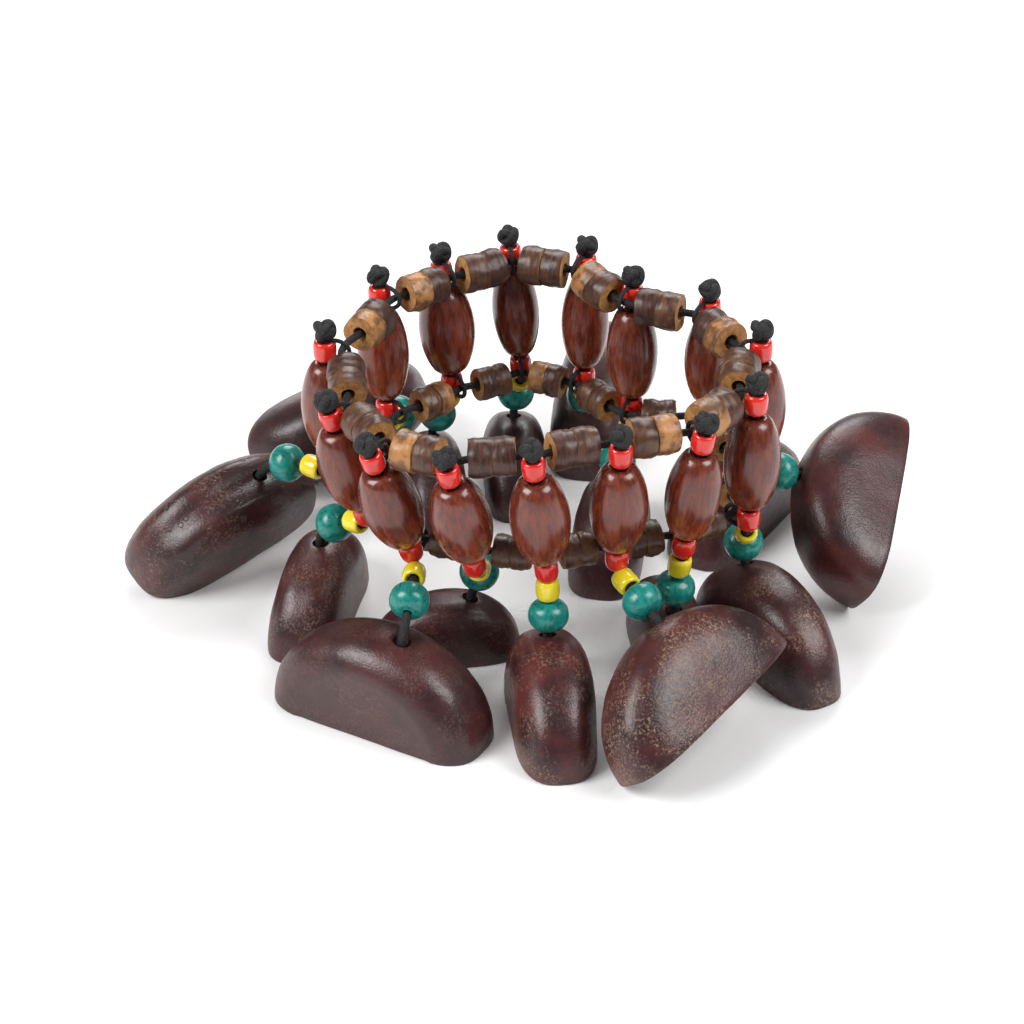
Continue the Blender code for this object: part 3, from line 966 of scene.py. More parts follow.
@dataclass
class Nutshell:
    """Half a nutshell: a deep D-shaped cup with a hole in its dome."""

    number: int
    pose: NutPose
    finishes: Finishes
    matrix: Matrix = field(default_factory=Matrix)

    @property
    def node(self) -> str:
        """The frame's node for this shell."""
        return f"nutshell_{self.number:02d}"

    @property
    def sizes(self) -> Triple:
        """Half length, half width and depth of this shell in millimetres."""
        return tuple(part * self.pose.size for part in SIZES.shell)

    @property
    def pole(self) -> Vector:
        """The direction of the hole on the unit dome."""
        turn = math.radians(self.pose.hole)
        return Vector((math.sin(turn), 0.0, math.cos(turn)))

    @property
    def hole(self) -> tuple[Vector, Vector]:
        """The middle of the hole on the outside, and the direction out of it."""
        half_length, _, depth = self.sizes
        pole = self.pole
        middle = Vector((half_length * pole.x, 0.0, depth * pole.z))
        return middle, Vector((pole.x / half_length, 0.0, pole.z / depth)).normalized()

    def plain(self, across: Vector) -> Vector:
        """Where a direction from the rim's middle meets the frame's half shell.

        Args:
            across: a point on the unit half sphere.

        Returns:
            The point in millimetres, about the rim's middle.
        """
        half_length, half_width, depth = self.sizes
        power = SIZES.shell_power
        reach = (math.hypot(across.x, across.z) ** power + abs(across.y) ** power) ** (1.0 / power)
        return Vector((half_length * across.x, half_width * across.y, depth * across.z)) / reach

    def form(self, across: Vector) -> Vector:
        """Where a direction meets the finished shell, with its flat faces, taper and ridges.

        Args:
            across: a point on the unit half sphere.

        Returns:
            The point in millimetres, about the rim's middle.
        """
        half_length, half_width, _ = self.sizes
        spot = self.plain(across) * FORM.snug
        x, y = spot.x / half_length, spot.y / half_width
        taper = 1.0 - abs(self.pose.taper) - self.pose.taper * x
        spot.y = math.copysign(self.planed(abs(y)) * half_width, y) * taper
        fade = max(0.0, 1.0 - x * x)
        ridge = math.exp(-(((abs(y) - FORM.ridge_place) / FORM.ridge_width) ** 2)) * fade
        valley = math.exp(-((y / FORM.valley_width) ** 2)) * fade
        relief = FORM.ridge_height * ridge - FORM.valley_depth * valley
        return spot * (1.0 + self.pose.ridges * relief)

    @property
    def flat_share(self) -> float:
        """How far out the broad faces lie flat, as a share of the half width."""
        return 1.0 - FORM.face_share * self.pose.panel

    def planed(self, bulge: float) -> float:
        """Plane the broad face flat, with a soft shoulder and a shallow dish.

        Args:
            bulge: how far out the face would be, as a share of the half width.

        Returns:
            How far out it is.
        """
        over = (bulge - self.flat_share) / FORM.shoulder
        soft = FORM.shoulder * math.log1p(math.exp(over))
        dish = FORM.dish * self.pose.panel * min(max(over - 0.5, 0.0), 1.0)
        return bulge - soft - dish

    def model(self) -> Piece:
        """Model the shell at its own origin: a dome is cut, holed, shaped and given its wall.

        Returns:
            The shell with its wall, rim and hole.
        """
        Bench.clear()
        bpy.ops.mesh.primitive_uv_sphere_add(segments=FORM.segments, ring_count=FORM.rings,
                                             radius=1.0)
        piece = bpy.context.object
        piece.name = f"nutshell_half_{self.number:02d}"
        bpy.ops.object.mode_set(mode="EDIT")
        bpy.ops.mesh.select_all(action="SELECT")
        bpy.ops.mesh.bisect(plane_co=(0.0, 0.0, 0.0), plane_no=UPRIGHT, clear_inner=True)
        bpy.ops.mesh.select_all(action="DESELECT")
        bpy.ops.object.mode_set(mode="OBJECT")
        step = math.pi / FORM.rings
        for vertex in piece.data.vertices:
            vertex.select = vertex.co.z > math.cos(step * 1.5)
        bpy.ops.object.mode_set(mode="EDIT")
        bpy.ops.mesh.delete(type="VERT")
        bpy.ops.object.mode_set(mode="OBJECT")
        self.shape(piece, step)
        wall = piece.modifiers.new("wall", "SOLIDIFY")
        wall.thickness = SIZES.shell_wall * MM
        wall.offset = -1.0
        wall.use_even_offset = True
        wall.material_offset = 1
        wall.material_offset_rim = 2
        for finish in (self.finishes.skin, self.finishes.inside, self.finishes.rim):
            piece.data.materials.append(finish)
        edge = piece.modifiers.new("edge", "BEVEL")
        edge.width = FORM.edge * MM
        edge.segments = 2
        edge.limit_method = "ANGLE"
        edge.angle_limit = math.radians(FORM.edge_angle)
        edge.material = -1
        Bench.apply_all(piece)
        return piece

    def shape(self, piece: Piece, step: float) -> None:
        """Sculpt the cut dome into the shell's form.

        Args:
            piece: the holed dome.
            step: the angle between two of its rows.
        """
        drift = Vector((17.3 * self.number, 5.1 * self.number, 9.7))
        hole_row = step * 2.0
        for vertex in piece.data.vertices:
            across = vertex.co.normalized()
            polar = math.acos(max(-1.0, min(1.0, across.z)))
            around = math.atan2(across.y, across.x)
            edge = Vector((math.cos(around), math.sin(around), 0.0))
            spot = self.form(self.pole.slerp(edge, min(polar / (math.pi / 2.0), 1.0)))
            near = 1.0 - min(max((polar - hole_row) / (hole_row * FORM.blend_rows), 0.0), 1.0)
            if near > 0.0:
                reach = SIZES.shell_hole + (polar - hole_row) / step * FORM.row_gap
                spot = spot.lerp(self.round_hole(edge * reach), near)
            wave = Vector()
            for fineness, height in FORM.waves:
                wave += noise.noise_vector(spot * fineness + drift) * height
            fade = min(spot.z / FORM.foot, 1.0)
            spot += Vector((wave.x * fade, wave.y, wave.z * fade)) * (1.0 - near)
            vertex.co = spot * MM
        piece.data.update()

    def round_hole(self, aside: Vector) -> Vector:
        """A point of the skin near the hole.

        Args:
            aside: how far it lies from the hole's middle, along and across the shell.

        Returns:
            The point on the shell in millimetres.
        """
        middle, out = self.hole
        spot = middle + Vector((out.z, 0.0, -out.x)) * aside.x + Vector((0.0, aside.y, 0.0))
        half_length, half_width, depth = self.sizes
        across = Vector((spot.x / half_length, spot.y / half_width, spot.z / depth))
        return self.form(across.normalized())

    def mark_flat(self, piece: Piece) -> None:
        """Store how flat and dull the skin is: strongest on the middle of both broad faces.

        Args:
            piece: the modelled shell, still at its own origin.
        """
        half_length, _, depth = self.sizes
        count = len(piece.data.vertices)
        places = np.empty(count * 3, dtype=np.float32)
        piece.data.vertices.foreach_get("co", places)
        places = places.reshape(-1, 3) / MM
        ring = np.hypot(places[:, 0] / half_length, places[:, 2] / depth)
        shoulder = (1.0 - self.flat_share ** SIZES.shell_power) ** (1.0 / SIZES.shell_power)
        share = np.clip((shoulder - ring) / FORM.dull_fade, 0.0, 1.0)
        panel = min(self.pose.panel, FORM.dull_panel)
        smooth = share * share * (3.0 - 2.0 * share) * panel / FORM.dull_panel
        stored = piece.data.attributes.new("flat", "FLOAT", "POINT")
        stored.data.foreach_set("value", smooth.astype(np.float32))

    def turn(self) -> Matrix:
        """How the shell is turned as it stands."""
        heading = Matrix.Rotation(math.radians(self.pose.heading), 4, "Z")
        raised = Matrix.Rotation(-math.radians(self.pose.pitch), 4, "Y")
        tipped = Matrix.Rotation(-math.radians(self.pose.lean), 4, "X")
        return heading @ raised @ tipped

    def rim_centre(self) -> Vector:
        """The rim's middle, found by laying the plain form's box over the node's box."""
        turn = self.turn().to_3x3()
        corners = []
        for j in range(SIZES.shell_sides):
            around = 2.0 * math.pi * j / SIZES.shell_sides
            edge = Vector((math.cos(around), math.sin(around), 0.0))
            for i in range(1, SIZES.shell_bands + 1):
                down = (i / SIZES.shell_bands) ** SIZES.shell_band_ease
                corners.append(turn @ self.plain(self.pole.slerp(edge, down)))
            middle, out = self.hole
            side = Vector((out.z, 0.0, -out.x)) * edge.x + Vector((0.0, edge.y, 0.0))
            corners.append(turn @ (middle + side * SIZES.shell_hole))
        low = Vector(min(c[i] for c in corners) for i in range(3))
        high = Vector(max(c[i] for c in corners) for i in range(3))
        node_low, node_high = (Vector(corner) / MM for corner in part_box(self.node))
        return (node_low + node_high) / 2.0 - (low + high) / 2.0

    def build(self) -> Piece:
        """Model, place and dress the shell.

        Returns:
            The finished piece.
        """
        piece = self.model()
        Bench.remember(piece, "local", Vector((31.0, 17.0, 11.0)) * self.number)
        self.mark_flat(piece)
        for name in NutPose.skin_marks:
            Bench.mark(piece, name, getattr(self.pose, name))
        self.matrix = Matrix.Translation(self.rim_centre() * MM) @ self.turn()
        lowest = min((self.matrix @ vertex.co).z for vertex in piece.data.vertices)
        self.matrix = Matrix.Translation((0.0, 0.0, CAD_BOX[0][2] - lowest)) @ self.matrix
        piece.data.transform(self.matrix)
        Bench.smooth(piece, FORM.smooth_angle)
        Bench.hand_over(piece, Slot.NUTSHELL, self.node)
        LOG.info("nutshell %d, %d faces", self.number, len(piece.data.polygons))
        return piece


@dataclass
class Pendant:
    """The places of the yellow bead, the teal bead and the stopper below one station."""

    station: Station
    shell: Nutshell
    yellow: Vector = field(default_factory=Vector)
    teal: Vector = field(default_factory=Vector)
    yellow_start: Vector = field(default_factory=Vector)
    teal_start: Vector = field(default_factory=Vector)
    hole: Vector = field(init=False)
    hole_axis: Vector = field(init=False)
    droop_range: tuple[float, float] = (-25.0, 100.0)
    halvings: int = 40

    def __post_init__(self) -> None:
        """Bend the cord until the beads end at the shell's hole."""
        middle, out = self.shell.hole
        self.hole_axis = (self.shell.matrix.to_3x3() @ out).normalized()
        self.hole = (self.shell.matrix @ (middle * MM)) / MM
        low, high = self.droop_range
        for _ in range(self.halvings):
            droop = (low + high) / 2.0
            if self.lay(droop) > self.hole.z:
                low = droop
            else:
                high = droop

    @staticmethod
    def corner(before: Vector, after: Vector) -> float:
        """Bare cord kept on each side of a bend."""
        return SIZES.corner_ease + SIZES.corner_radius * math.tan(before.angle(after) / 2.0)

    def lay(self, droop_deg: float) -> float:
        """Lay the beads out for a droop.

        Args:
            droop_deg: how steeply the yellow bead points down.

        Returns:
            The height at which the cord would enter the shell.
        """
        heading = math.radians(self.shell.pose.cord_heading)
        droop = math.radians(droop_deg)
        down = -self.station.axis
        self.yellow = Vector((math.cos(heading), math.sin(heading), 0.0)) * math.cos(droop)
        self.yellow -= UPRIGHT * math.sin(droop)
        self.teal = (self.yellow - self.hole_axis * SIZES.teal_turn).normalized()
        red_end = self.station.red(Level.LOWER)
        red_end += down * (SIZES.seed_length / 2.0 + SIZES.corner_ease)
        self.yellow_start = red_end + (down + self.yellow) * self.corner(down, self.yellow)
        self.teal_start = self.yellow_start + self.yellow * SIZES.seed_length
        self.teal_start += (self.yellow + self.teal) * self.corner(self.yellow, self.teal)
        end = self.teal_start + self.teal * SIZES.teal_length
        reach = self.corner(self.teal, -self.hole_axis) + self.shell.pose.lead
        along = max(-self.teal.dot(self.hole_axis), 0.0)
        across = math.sqrt(max(1.0 - along * along, 0.0))
        waist = SIZES.teal_radius * across - SIZES.teal_length * SIZES.ease * along
        stand = SIZES.gap + max(waist, SIZES.teal_end * across)
        drop = max(stand + self.teal.dot(self.hole_axis) * reach, reach + SIZES.gap)
        return (end + self.teal * reach - self.hole_axis * drop).z


@dataclass
class BeadPatterns:
    """Each kind of turned bead, modelled once."""

    finishes: Finishes
    oval_steps: int = 22
    oval_sides: int = 40
    oval_cut: float = 0.985
    seed_steps: int = 22
    seed_sides: int = 28
    seed_power: float = 2.8
    teal_steps: int = 16
    teal_sides: int = 36
    teal_power: float = 2.3
    teal_sweep: float = 0.86
    coconut_kinds: int = 6
    coconut_steps: int = 8
    coconut_sides: int = 32
    coconut_bore: float = 1.35
    coconut_core: float = 0.62
    coconut_wear: float = 0.34
    oval: Piece = field(init=False)
    red: Piece = field(init=False)
    yellow: Piece = field(init=False)
    teal: Piece = field(init=False)
    coconut: dict[Level, list[Piece]] = field(init=False)

    def __post_init__(self) -> None:
        """Turn every pattern bead."""
        self.oval = self.make_oval()
        self.red = self.make_seed("pattern_red", self.finishes.red)
        self.yellow = self.make_seed("pattern_yellow", self.finishes.yellow)
        self.teal = self.make_teal()
        kinds = range(self.coconut_kinds)
        self.coconut = {
            Level.UPPER: [self.make_coconut(k, *SIZES.upper_coco) for k in kinds],
            Level.LOWER: [self.make_coconut(k + len(kinds), *SIZES.lower_coco) for k in kinds],
        }

    @staticmethod
    def finished(name: str, profile: list[tuple[float, float]], sides: int, angle: float,
                 finish: Material) -> Piece:
        """Turn a profile and give it its finish.

        Args:
            name: the pattern's name.
            profile: (radius, height) points in millimetres.
            sides: how many sides the turned bead has.
            angle: edges sharper than this many degrees stay crisp.
            finish: the bead's material.

        Returns:
            The pattern.
        """
        piece = Bench.turned(name, profile, sides)
        piece.data.materials.append(finish)
        Bench.smooth(piece, angle)
        return piece

    def make_oval(self) -> Piece:
        """Turn the oval bead with its rounded ends and bore.

        Returns:
            The pattern.
        """
        half = SIZES.oval_length / 2.0
        profile = [(SIZES.bore, -half + 0.35), (SIZES.bore + 0.3, -half)]
        for i in range(self.oval_steps + 1):
            share = -1.0 + 2.0 * i / self.oval_steps
            swell = max(math.cos(math.pi / 2.0 * share), 0.0) ** SIZES.oval_fullness
            radius = SIZES.oval_end + (SIZES.oval_radius - SIZES.oval_end) * swell
            profile.append((radius, half * share * self.oval_cut))
        profile += [(SIZES.bore + 0.3, half), (SIZES.bore, half - 0.35)]
        return self.finished("pattern_oval", profile, self.oval_sides, 60.0, self.finishes.oval)

    def make_seed(self, name: str, finish: Material) -> Piece:
        """Turn a seed bead: a round-shouldered ring of glass.

        Args:
            name: the pattern's name.
            finish: its glass.

        Returns:
            The pattern.
        """
        half = SIZES.seed_visible / 2.0
        middle = (SIZES.seed_radius + SIZES.seed_bore) / 2.0
        thick = (SIZES.seed_radius - SIZES.seed_bore) / 2.0
        profile = []
        for i in range(self.seed_steps):
            side, up = squared(2.0 * math.pi * i / self.seed_steps, self.seed_power)
            profile.append((middle - thick * side, -half * up))
        return self.finished(name, profile, self.seed_sides, 80.0, finish)

    def make_teal(self) -> Piece:
        """Turn the round wood bead.

        Returns:
            The pattern.
        """
        half = SIZES.teal_length / 2.0
        profile = [(SIZES.bore, -half + 0.5), (SIZES.bore + 0.25, -half + 0.1)]
        for i in range(self.teal_steps + 1):
            angle = math.pi * (i / self.teal_steps - 0.5) * self.teal_sweep
            side, up = squared(angle, self.teal_power)
            profile.append((SIZES.teal_radius * side, half * up))
        profile += [(SIZES.bore + 0.25, half - 0.1), (SIZES.bore, half - 0.5)]
        return self.finished("pattern_teal", profile, self.teal_sides, 60.0, self.finishes.teal)

    def make_coconut(self, kind: int, radius: float, length: float) -> Piece:
        """Turn a coconut-shell bead, then wear it unevenly.

        Args:
            kind: which variant.
            radius: the bead's radius.
            length: the bead's length.

        Returns:
            The pattern, its side and its faces in different finishes.
        """
        half = (length + SIZES.coco_swell) / 2.0
        bore = self.coconut_bore
        core = radius * self.coconut_core
        profile = [(bore, -half + 0.2), (bore + 0.2, -half), (core, -half), (radius - 0.3, -half)]
        for i in range(self.coconut_steps + 1):
            share = -1.0 + 2.0 * i / self.coconut_steps
            groove = 0.05 * math.sin(share * 7.0 + kind * 1.7)
            profile.append((radius - 0.05 - 0.22 * share * share + groove, (half - 0.22) * share))
        profile += [(radius - 0.3, half), (core, half), (bore + 0.2, half), (bore, half - 0.2)]
        name = f"pattern_coconut_{kind}"
        piece = Bench.turned(name, profile, self.coconut_sides)
        drift = Vector((kind * 13.7, 3.3, 8.8))
        for vertex in piece.data.vertices:
            spot = vertex.co / MM
            outer = (math.hypot(spot.x, spot.y) - radius * 0.6) / (radius * 0.4)
            wear = noise.noise_vector(spot * 0.45 + drift) * self.coconut_wear
            wear *= min(max(outer, 0.0), 1.0)
            wear.z *= 0.8
            vertex.co = (spot + wear) * MM
        for finish in (self.finishes.bark, self.finishes.cut):
            piece.data.materials.append(finish)
        for face in piece.data.polygons:
            outward = Vector((face.center.x, face.center.y, 0.0)).normalized()
            face.material_index = 0 if face.normal.dot(outward) > 0.6 else 1
        Bench.smooth(piece, 42.0)
        return piece

    def put_away(self) -> None:
        """Delete the patterns once every copy is made."""
        patterns = [self.oval, self.red, self.yellow, self.teal]
        for pattern in patterns + self.coconut[Level.UPPER] + self.coconut[Level.LOWER]:
            bpy.data.objects.remove(pattern, do_unlink=True)


@dataclass
class ThreadedBeads:
    """The oval, the seed beads and the teal bead of one station."""

    station: Station
    pendant: Pendant
    patterns: BeadPatterns
    rng: random.Random
    yellow_share: float = 0.35
    teal_share: float = 0.7
    tint_range: tuple[float, float] = (0.15, 1.0)

    def one(self, pattern: Piece, name: str, centre: Vector, axis: Vector,
            girth: float = 1.0) -> Piece:
        """Thread one bead.

        Args:
            pattern: the pattern bead.
            name: the bead's name.
            centre: its middle in millimetres.
            axis: its bore's direction.
            girth: its share of the pattern's width.

        Returns:
            The bead.
        """
        width = Matrix.Diagonal((girth, girth, 1.0, 1.0))
        spot = pointed(axis, centre) @ any_turn(self.rng) @ width
        piece = Bench.copied(pattern, name, spot, any_shift(self.rng))
        Bench.mark(piece, "tint", self.rng.uniform(*self.tint_range))
        return piece

    def build(self) -> None:
        """Thread the station's beads from top to bottom."""
        mark = f"{self.station.number:02d}"
        station, pendant, patterns = self.station, self.pendant, self.patterns
        axis = station.axis
        name = "oval_wood_bead_" + mark
        oval = self.one(patterns.oval, name, station.centre, axis, station.girth)
        Bench.hand_over(oval, Slot.OVAL_WOOD, "oval_bead_" + mark)
        slack = pendant.shell.pose.lead
        down = SIZES.seed_length / 2.0 + self.yellow_share * slack
        yellow = pendant.yellow_start + pendant.yellow * down
        down = SIZES.teal_length / 2.0 + self.teal_share * slack
        teal = pendant.teal_start + pendant.teal * down
        for pattern, name, centre, line in (
            (patterns.red, "red_bead_upper_", station.red(Level.UPPER), axis),
            (patterns.red, "red_bead_lower_", station.red(Level.LOWER), axis),
            (patterns.yellow, "yellow_bead_", yellow, pendant.yellow),
            (patterns.teal, "teal_bead_", teal, pendant.teal),
        ):
            bead = self.one(pattern, name + mark, centre, line)
            Bench.hand_over(bead, Slot.CORD, "drop_cord_" + mark)


@dataclass
class WaxedCord:
    """The black thread of one station with its tied knot and its stopper knot."""

    station: Station
    pendant: Pendant
    finish: Material
    rng: random.Random
    radius: float = 0.85
    strand: float = 0.42
    knot_strand: float = 0.92
    knot_size: float = 1.4
    knot_flat: float = 0.62
    wrap_strand: float = 0.80
    wrap_size: float = 1.35
    stopper_size: float = 1.2
    oval_grip: float = 6.0
    stopper_depth: float = 1.9
    hole_stand: float = 0.6

    def knot(self, name: str, centre: Vector, axis: Vector, size: float) -> Piece:
        """Tie an overhand knot.

        Args:
            name: the object's name.
            centre: its middle in millimetres.
            axis: the cord's direction through it.
            size: the half width of the loops' centre line.

        Returns:
            The knot.
        """
        turn = pointed(axis, Vector()).to_3x3() @ any_turn(self.rng).to_3x3()
        points = []
        for i in range(30):
            t = 2.0 * math.pi * i / 30
            x = (math.sin(t) + 2.0 * math.sin(2.0 * t)) / 3.0
            y = (math.cos(t) - 2.0 * math.cos(2.0 * t)) / 3.0
            z = -math.sin(3.0 * t) * self.knot_flat
            points.append(centre + turn @ (Vector((x, y, z)) * size))
        return Bench.tube(name, points, self.knot_strand, closed=True)

    def wrap(self, name: str, centre: Vector, axis: Vector, size: float) -> Piece:
        """A turn of thread drawn tight round a knot.

        Args:
            name: the object's name.
            centre: the knot's middle.
            axis: the cord's direction through it.
            size: the turn's radius in millimetres.

        Returns:
            The turn.
        """
        lean = Matrix.Rotation(self.rng.uniform(0.3, 0.6), 3, "X")
        around = Matrix.Rotation(self.rng.uniform(0.0, 6.0), 3, "Z")
        turn = pointed(axis, Vector()).to_3x3() @ around @ lean
        points = []
        for i in range(16):
            t = 2.0 * math.pi * i / 16
            rise = 0.35 * math.sin(2.0 * t)
            points.append(centre + turn @ Vector((math.cos(t) * size, math.sin(t) * size, rise)))
        return Bench.tube(name, points, self.wrap_strand, closed=True)

    def tail(self, name: str, start: Vector, axis: Vector) -> Piece:
        """A short cut end of thread that stands out of the knot.

        Args:
            name: the object's name.
            start: the knot's middle.
            axis: the cord's direction.

        Returns:
            The tail.
        """
        turn = self.rng.uniform(0.0, 2.0 * math.pi)
        aside = pointed(axis, Vector()).to_3x3() @ Vector((math.cos(turn), math.sin(turn), 0.0))
        points = [start, start + aside * 0.9 + axis * 0.7, start + aside * 1.75 + axis * 0.9]
        return Bench.tube(name, points, self.strand, closed=False)

    def loop(self, name: str, level: Level) -> Piece:
        """The strand that holds the elastic against a red bead.

        Args:
            name: the object's name.
            level: which elastic.

        Returns:
            The strand.
        """
        red = self.station.red(level)
        axis = self.station.axis
        inward = self.station.inward[level]
        shoulder = SIZES.seed_length / 2.0 + 0.25
        far = SIZES.elastic_offset + SIZES.elastic_radius + SIZES.gap + self.strand
        outline = ((0.3, shoulder), (SIZES.elastic_offset, shoulder), (far, 0.0),
                   (SIZES.elastic_offset, -shoulder), (0.3, -shoulder))
        points = [red + inward * reach + axis * height for reach, height in outline]
        return Bench.tube(name, points, self.strand, closed=False)

    def build(self) -> Piece:
        """Lay the thread from its knot to its stopper.

        Returns:
            The finished thread.
        """
        mark = f"{self.station.number:02d}"
        station, pendant = self.station, self.pendant
        axis = station.axis
        top = station.red(Level.UPPER) + axis * (SIZES.seed_length / 2.0)
        knot_centre = top + axis * (SIZES.seat_neck * 0.7 + SIZES.knot_length / 2.0)
        inside = pendant.hole - pendant.hole_axis * (SIZES.shell_wall + self.stopper_depth)
        route = [
            knot_centre,
            top,
            station.centre + axis * self.oval_grip,
            station.centre - axis * self.oval_grip,
            station.red(Level.LOWER) - axis * (SIZES.seed_length / 2.0),
            pendant.yellow_start,
            pendant.yellow_start + pendant.yellow * SIZES.seed_length,
            pendant.teal_start,
            pendant.teal_start + pendant.teal * SIZES.teal_length,
            pendant.hole + pendant.hole_axis * self.hole_stand,
            inside,
        ]
        parts = [
            Bench.tube("thread", route, self.radius, closed=False),
            self.knot("knot", knot_centre, axis, self.knot_size),
            self.wrap("wrap", knot_centre, axis, self.wrap_size),
            self.tail("tail", knot_centre, axis),
            self.knot("stopper", inside, pendant.hole_axis, self.stopper_size),
            self.loop("upper_loop", Level.UPPER),
            self.loop("lower_loop", Level.LOWER),
        ]
        piece = Bench.joined("waxed_cord_" + mark, parts)
        piece.data.materials.clear()
        piece.data.materials.append(self.finish)
        Bench.remember(piece, "local", Vector((7.0, 3.0, 5.0)) * self.station.number)
        Bench.smooth(piece, 60.0)
        Bench.hand_over(piece, Slot.CORD, "drop_cord_" + mark)
        return piece


@dataclass
class CoconutRing:
    """One elastic with its pairs of coconut-shell beads."""

    level: Level
    stations: list[Station]
    patterns: BeadPatterns
    finish: Material
    least_width: float = 0.92
    pale_from: float = 0.76
    pale_tint: float = 0.95
    dark_tint: float = 0.3

    def places(self) -> list[tuple[Vector, Vector]]:
        """The middle and axis of every bead, as the frame's source lays them.

        Returns:
            (middle, axis) for each bead in order.
        """
        upper = self.level is Level.UPPER
        length = (SIZES.upper_coco if upper else SIZES.lower_coco)[1]
        spread = random.Random(4 if upper else 9)
        crossings = [station.crossing(self.level) for station in self.stations]
        centre = sum(crossings, Vector()) / len(crossings)
        found = []
        for k, here in enumerate(crossings):
            following = crossings[(k + 1) % len(crossings)]
            along = (following - here).normalized()
            middle = (here + following) / 2.0
            inward = centre - middle
            inward.z = 0.0
            middle = middle + inward.normalized() * SIZES.coco_inset
            for side in (-1.0, 1.0):
                tilt = math.radians(spread.uniform(-SIZES.coco_tilt, SIZES.coco_tilt))
                turn = math.radians(spread.uniform(-SIZES.coco_tilt, SIZES.coco_tilt))
                across = along.cross(UPRIGHT).normalized()
                axis = Matrix.Rotation(tilt, 3, across) @ Matrix.Rotation(turn, 3, UPRIGHT) @ along
                found.append((middle + along * side * (length + SIZES.coco_groove) / 2.0, axis))
        return found

    def build(self) -> None:
        """Thread the beads on their elastic."""
        rng = random.Random(21 if self.level is Level.UPPER else 22)
        node = f"{self.level.value}_bead_ring"
        places = self.places()
        for k, (middle, axis) in enumerate(places):
            pattern = self.patterns.coconut[self.level][k % self.patterns.coconut_kinds]
            size = rng.uniform(self.least_width, 1.0)
            flip = Matrix.Rotation(rng.choice((0.0, math.pi)), 4, "X")
            turn = any_turn(rng)
            scale = Matrix.Diagonal((size, size, 1.0, 1.0))
            spot = pointed(axis, middle) @ flip @ turn @ scale
            name = f"coconut_bead_{self.level.value}_{k + 1:02d}"
            bead = Bench.copied(pattern, name, spot, any_shift(rng))
            pale = rng.random()
            tint = self.pale_tint if pale > self.pale_from else pale * self.dark_tint
            Bench.mark(bead, "tint", tint)
            Bench.hand_over(bead, Slot.COCONUT, node)
        line = []
        for k, station in enumerate(self.stations):
            line.append(station.crossing(self.level))
            line += [places[2 * k][0], places[2 * k + 1][0]]
        name = f"{self.level.value}_elastic"
        elastic = Bench.tube(name, line, SIZES.elastic_radius, closed=True)
        elastic.data.materials.clear()
        elastic.data.materials.append(self.finish)
        Bench.remember(elastic, "local", Vector())
        Bench.hand_over(elastic, Slot.CORD, node)
        LOG.info("%s elastic with %d beads", self.level.value, len(places))


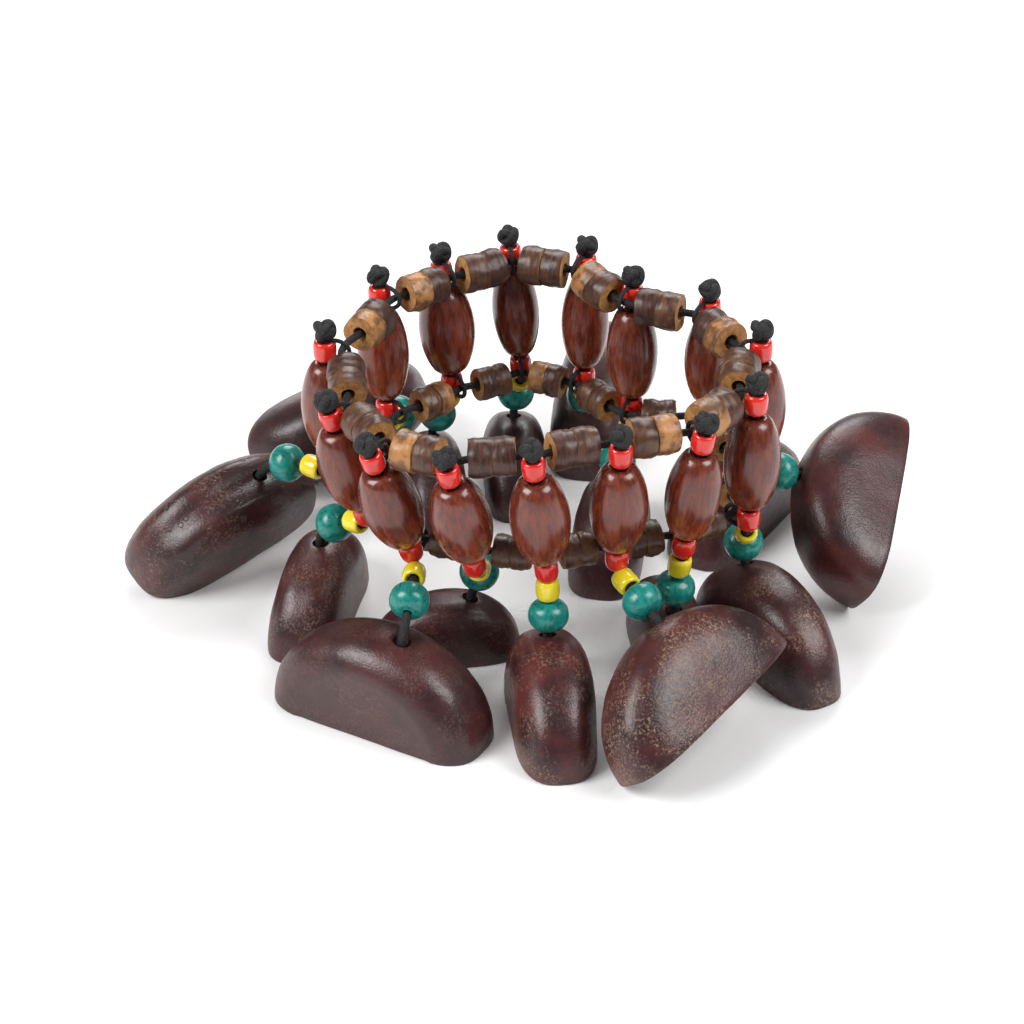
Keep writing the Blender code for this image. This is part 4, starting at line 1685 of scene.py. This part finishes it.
@dataclass
class Studio:
    """The camera, the lamps and the pale floor."""

    elevation: float = 31.5
    distance: float = 600.0
    pixels: float = 1024.0
    pixels_per_mm: float = 5.5147
    target_pixel: tuple[float, float] = (541.2, 361.5)
    target_offset: Triple = (-0.51, -1.15, -0.42)
    sensor: float = 36.0
    sky: float = 0.22
    floor_tone: float = 0.94
    floor_glow: float = 0.03
    panel: float = 0.6
    aim: Triple = (0.0, 0.0, 0.03)

    def build(self) -> None:
        """Set up the view, the light and the floor."""
        self.camera()
        self.floor()
        self.lamps()
        self.world()
        bpy.context.scene.view_settings.view_transform = "Standard"

    def camera(self) -> None:
        """Look at the upper ring from the photograph's side and height."""
        low, high = (Vector(corner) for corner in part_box("upper_bead_ring"))
        target = (low + high) / 2.0 + Vector(self.target_offset) * MM
        tilt = math.radians(self.elevation)
        data = bpy.data.cameras.new("photo_camera")
        data.sensor_width = self.sensor
        data.lens = self.pixels_per_mm * self.distance / self.pixels * self.sensor
        data.shift_x = -(self.target_pixel[0] - self.pixels / 2.0) / self.pixels
        data.shift_y = (self.target_pixel[1] - self.pixels / 2.0) / self.pixels
        data.clip_start = 0.01
        camera = bpy.data.objects.new("photo_camera", data)
        back = Vector((0.0, -math.cos(tilt), math.sin(tilt)))
        camera.location = target + back * self.distance * MM
        camera.rotation_euler = (math.pi / 2.0 - tilt, 0.0, 0.0)
        bpy.context.collection.objects.link(camera)
        bpy.context.scene.camera = camera

    def floor(self) -> None:
        """Lay a pale floor that keeps the object's shadow."""
        Bench.clear()
        bpy.ops.mesh.primitive_plane_add(size=30.0, location=(0.0, 0.0, CAD_BOX[0][2] - 0.02 * MM))
        floor = bpy.context.object
        floor.name = "studio_floor"
        s = Shading("pale_floor")
        path = s.node("ShaderNodeLightPath")
        glow = s.maths("MULTIPLY", path.outputs["Is Camera Ray"], self.floor_glow)
        floor.data.materials.append(
            s.finish(Base_Color=(self.floor_tone,) * 3, Roughness=0.9,
                     Emission_Color=(1.0, 1.0, 1.0), Emission_Strength=glow,
                     Specular_IOR_Level=0.1)
        )

    def lamp(self, name: str, place: Triple, power: float) -> None:
        """Hang one soft lamp.

        Args:
            name: the lamp's name.
            place: where it hangs, in metres.
            power: its watts.
        """
        data = bpy.data.lights.new(name, "AREA")
        data.size = self.panel
        data.energy = power
        lamp = bpy.data.objects.new(name, data)
        lamp.location = place
        line = Vector(self.aim) - Vector(place)
        lamp.rotation_euler = line.to_track_quat("-Z", "Y").to_euler()
        bpy.context.collection.objects.link(lamp)

    def lamps(self) -> None:
        """Two side lamps and a soft top lamp."""
        self.lamp("left_lamp", (-0.75, -0.35, 0.75), 11.0)
        self.lamp("right_lamp", (0.70, -0.25, 0.80), 8.5)
        self.lamp("back_lamp", (0.05, 0.85, 0.75), 7.0)

    def world(self) -> None:
        """A soft even sky that the camera sees as white."""
        world = bpy.data.worlds.new("white_room")
        world.use_nodes = True
        bpy.context.scene.world = world
        tree = world.node_tree
        plain = tree.nodes["Background"]
        white = tree.nodes.new("ShaderNodeBackground")
        for shader, strength in ((plain, self.sky), (white, 1.0)):
            shader.inputs["Color"].default_value = (1.0, 1.0, 1.0, 1.0)
            shader.inputs["Strength"].default_value = strength
        path = tree.nodes.new("ShaderNodeLightPath")
        mix = tree.nodes.new("ShaderNodeMixShader")
        tree.links.new(path.outputs["Is Camera Ray"], mix.inputs["Fac"])
        tree.links.new(plain.outputs["Background"], mix.inputs[1])
        tree.links.new(white.outputs["Background"], mix.inputs[2])
        tree.links.new(mix.outputs["Shader"], tree.nodes["World Output"].inputs["Surface"])


def main() -> None:
    """Build the studio and the bracelet, piece by piece."""
    logging.basicConfig(level=logging.INFO, format="%(name)s: %(message)s")
    noise.seed_set(NOISE_SEED)
    Studio().build()
    finishes = Finishes()
    stations = read_stations(len(POSES))
    patterns = BeadPatterns(finishes)
    for level in Level:
        CoconutRing(level, stations, patterns, finishes.thread).build()
    for station, pose in zip(stations, POSES):
        shell = Nutshell(station.number, pose, finishes)
        shell.build()
        pendant = Pendant(station, shell)
        rng = random.Random(100 + station.number)
        ThreadedBeads(station, pendant, patterns, rng).build()
        WaxedCord(station, pendant, finishes.thread, rng).build()
        LOG.info("station %d threaded", station.number)
    patterns.put_away()


if __name__ == "__main__":
    main()
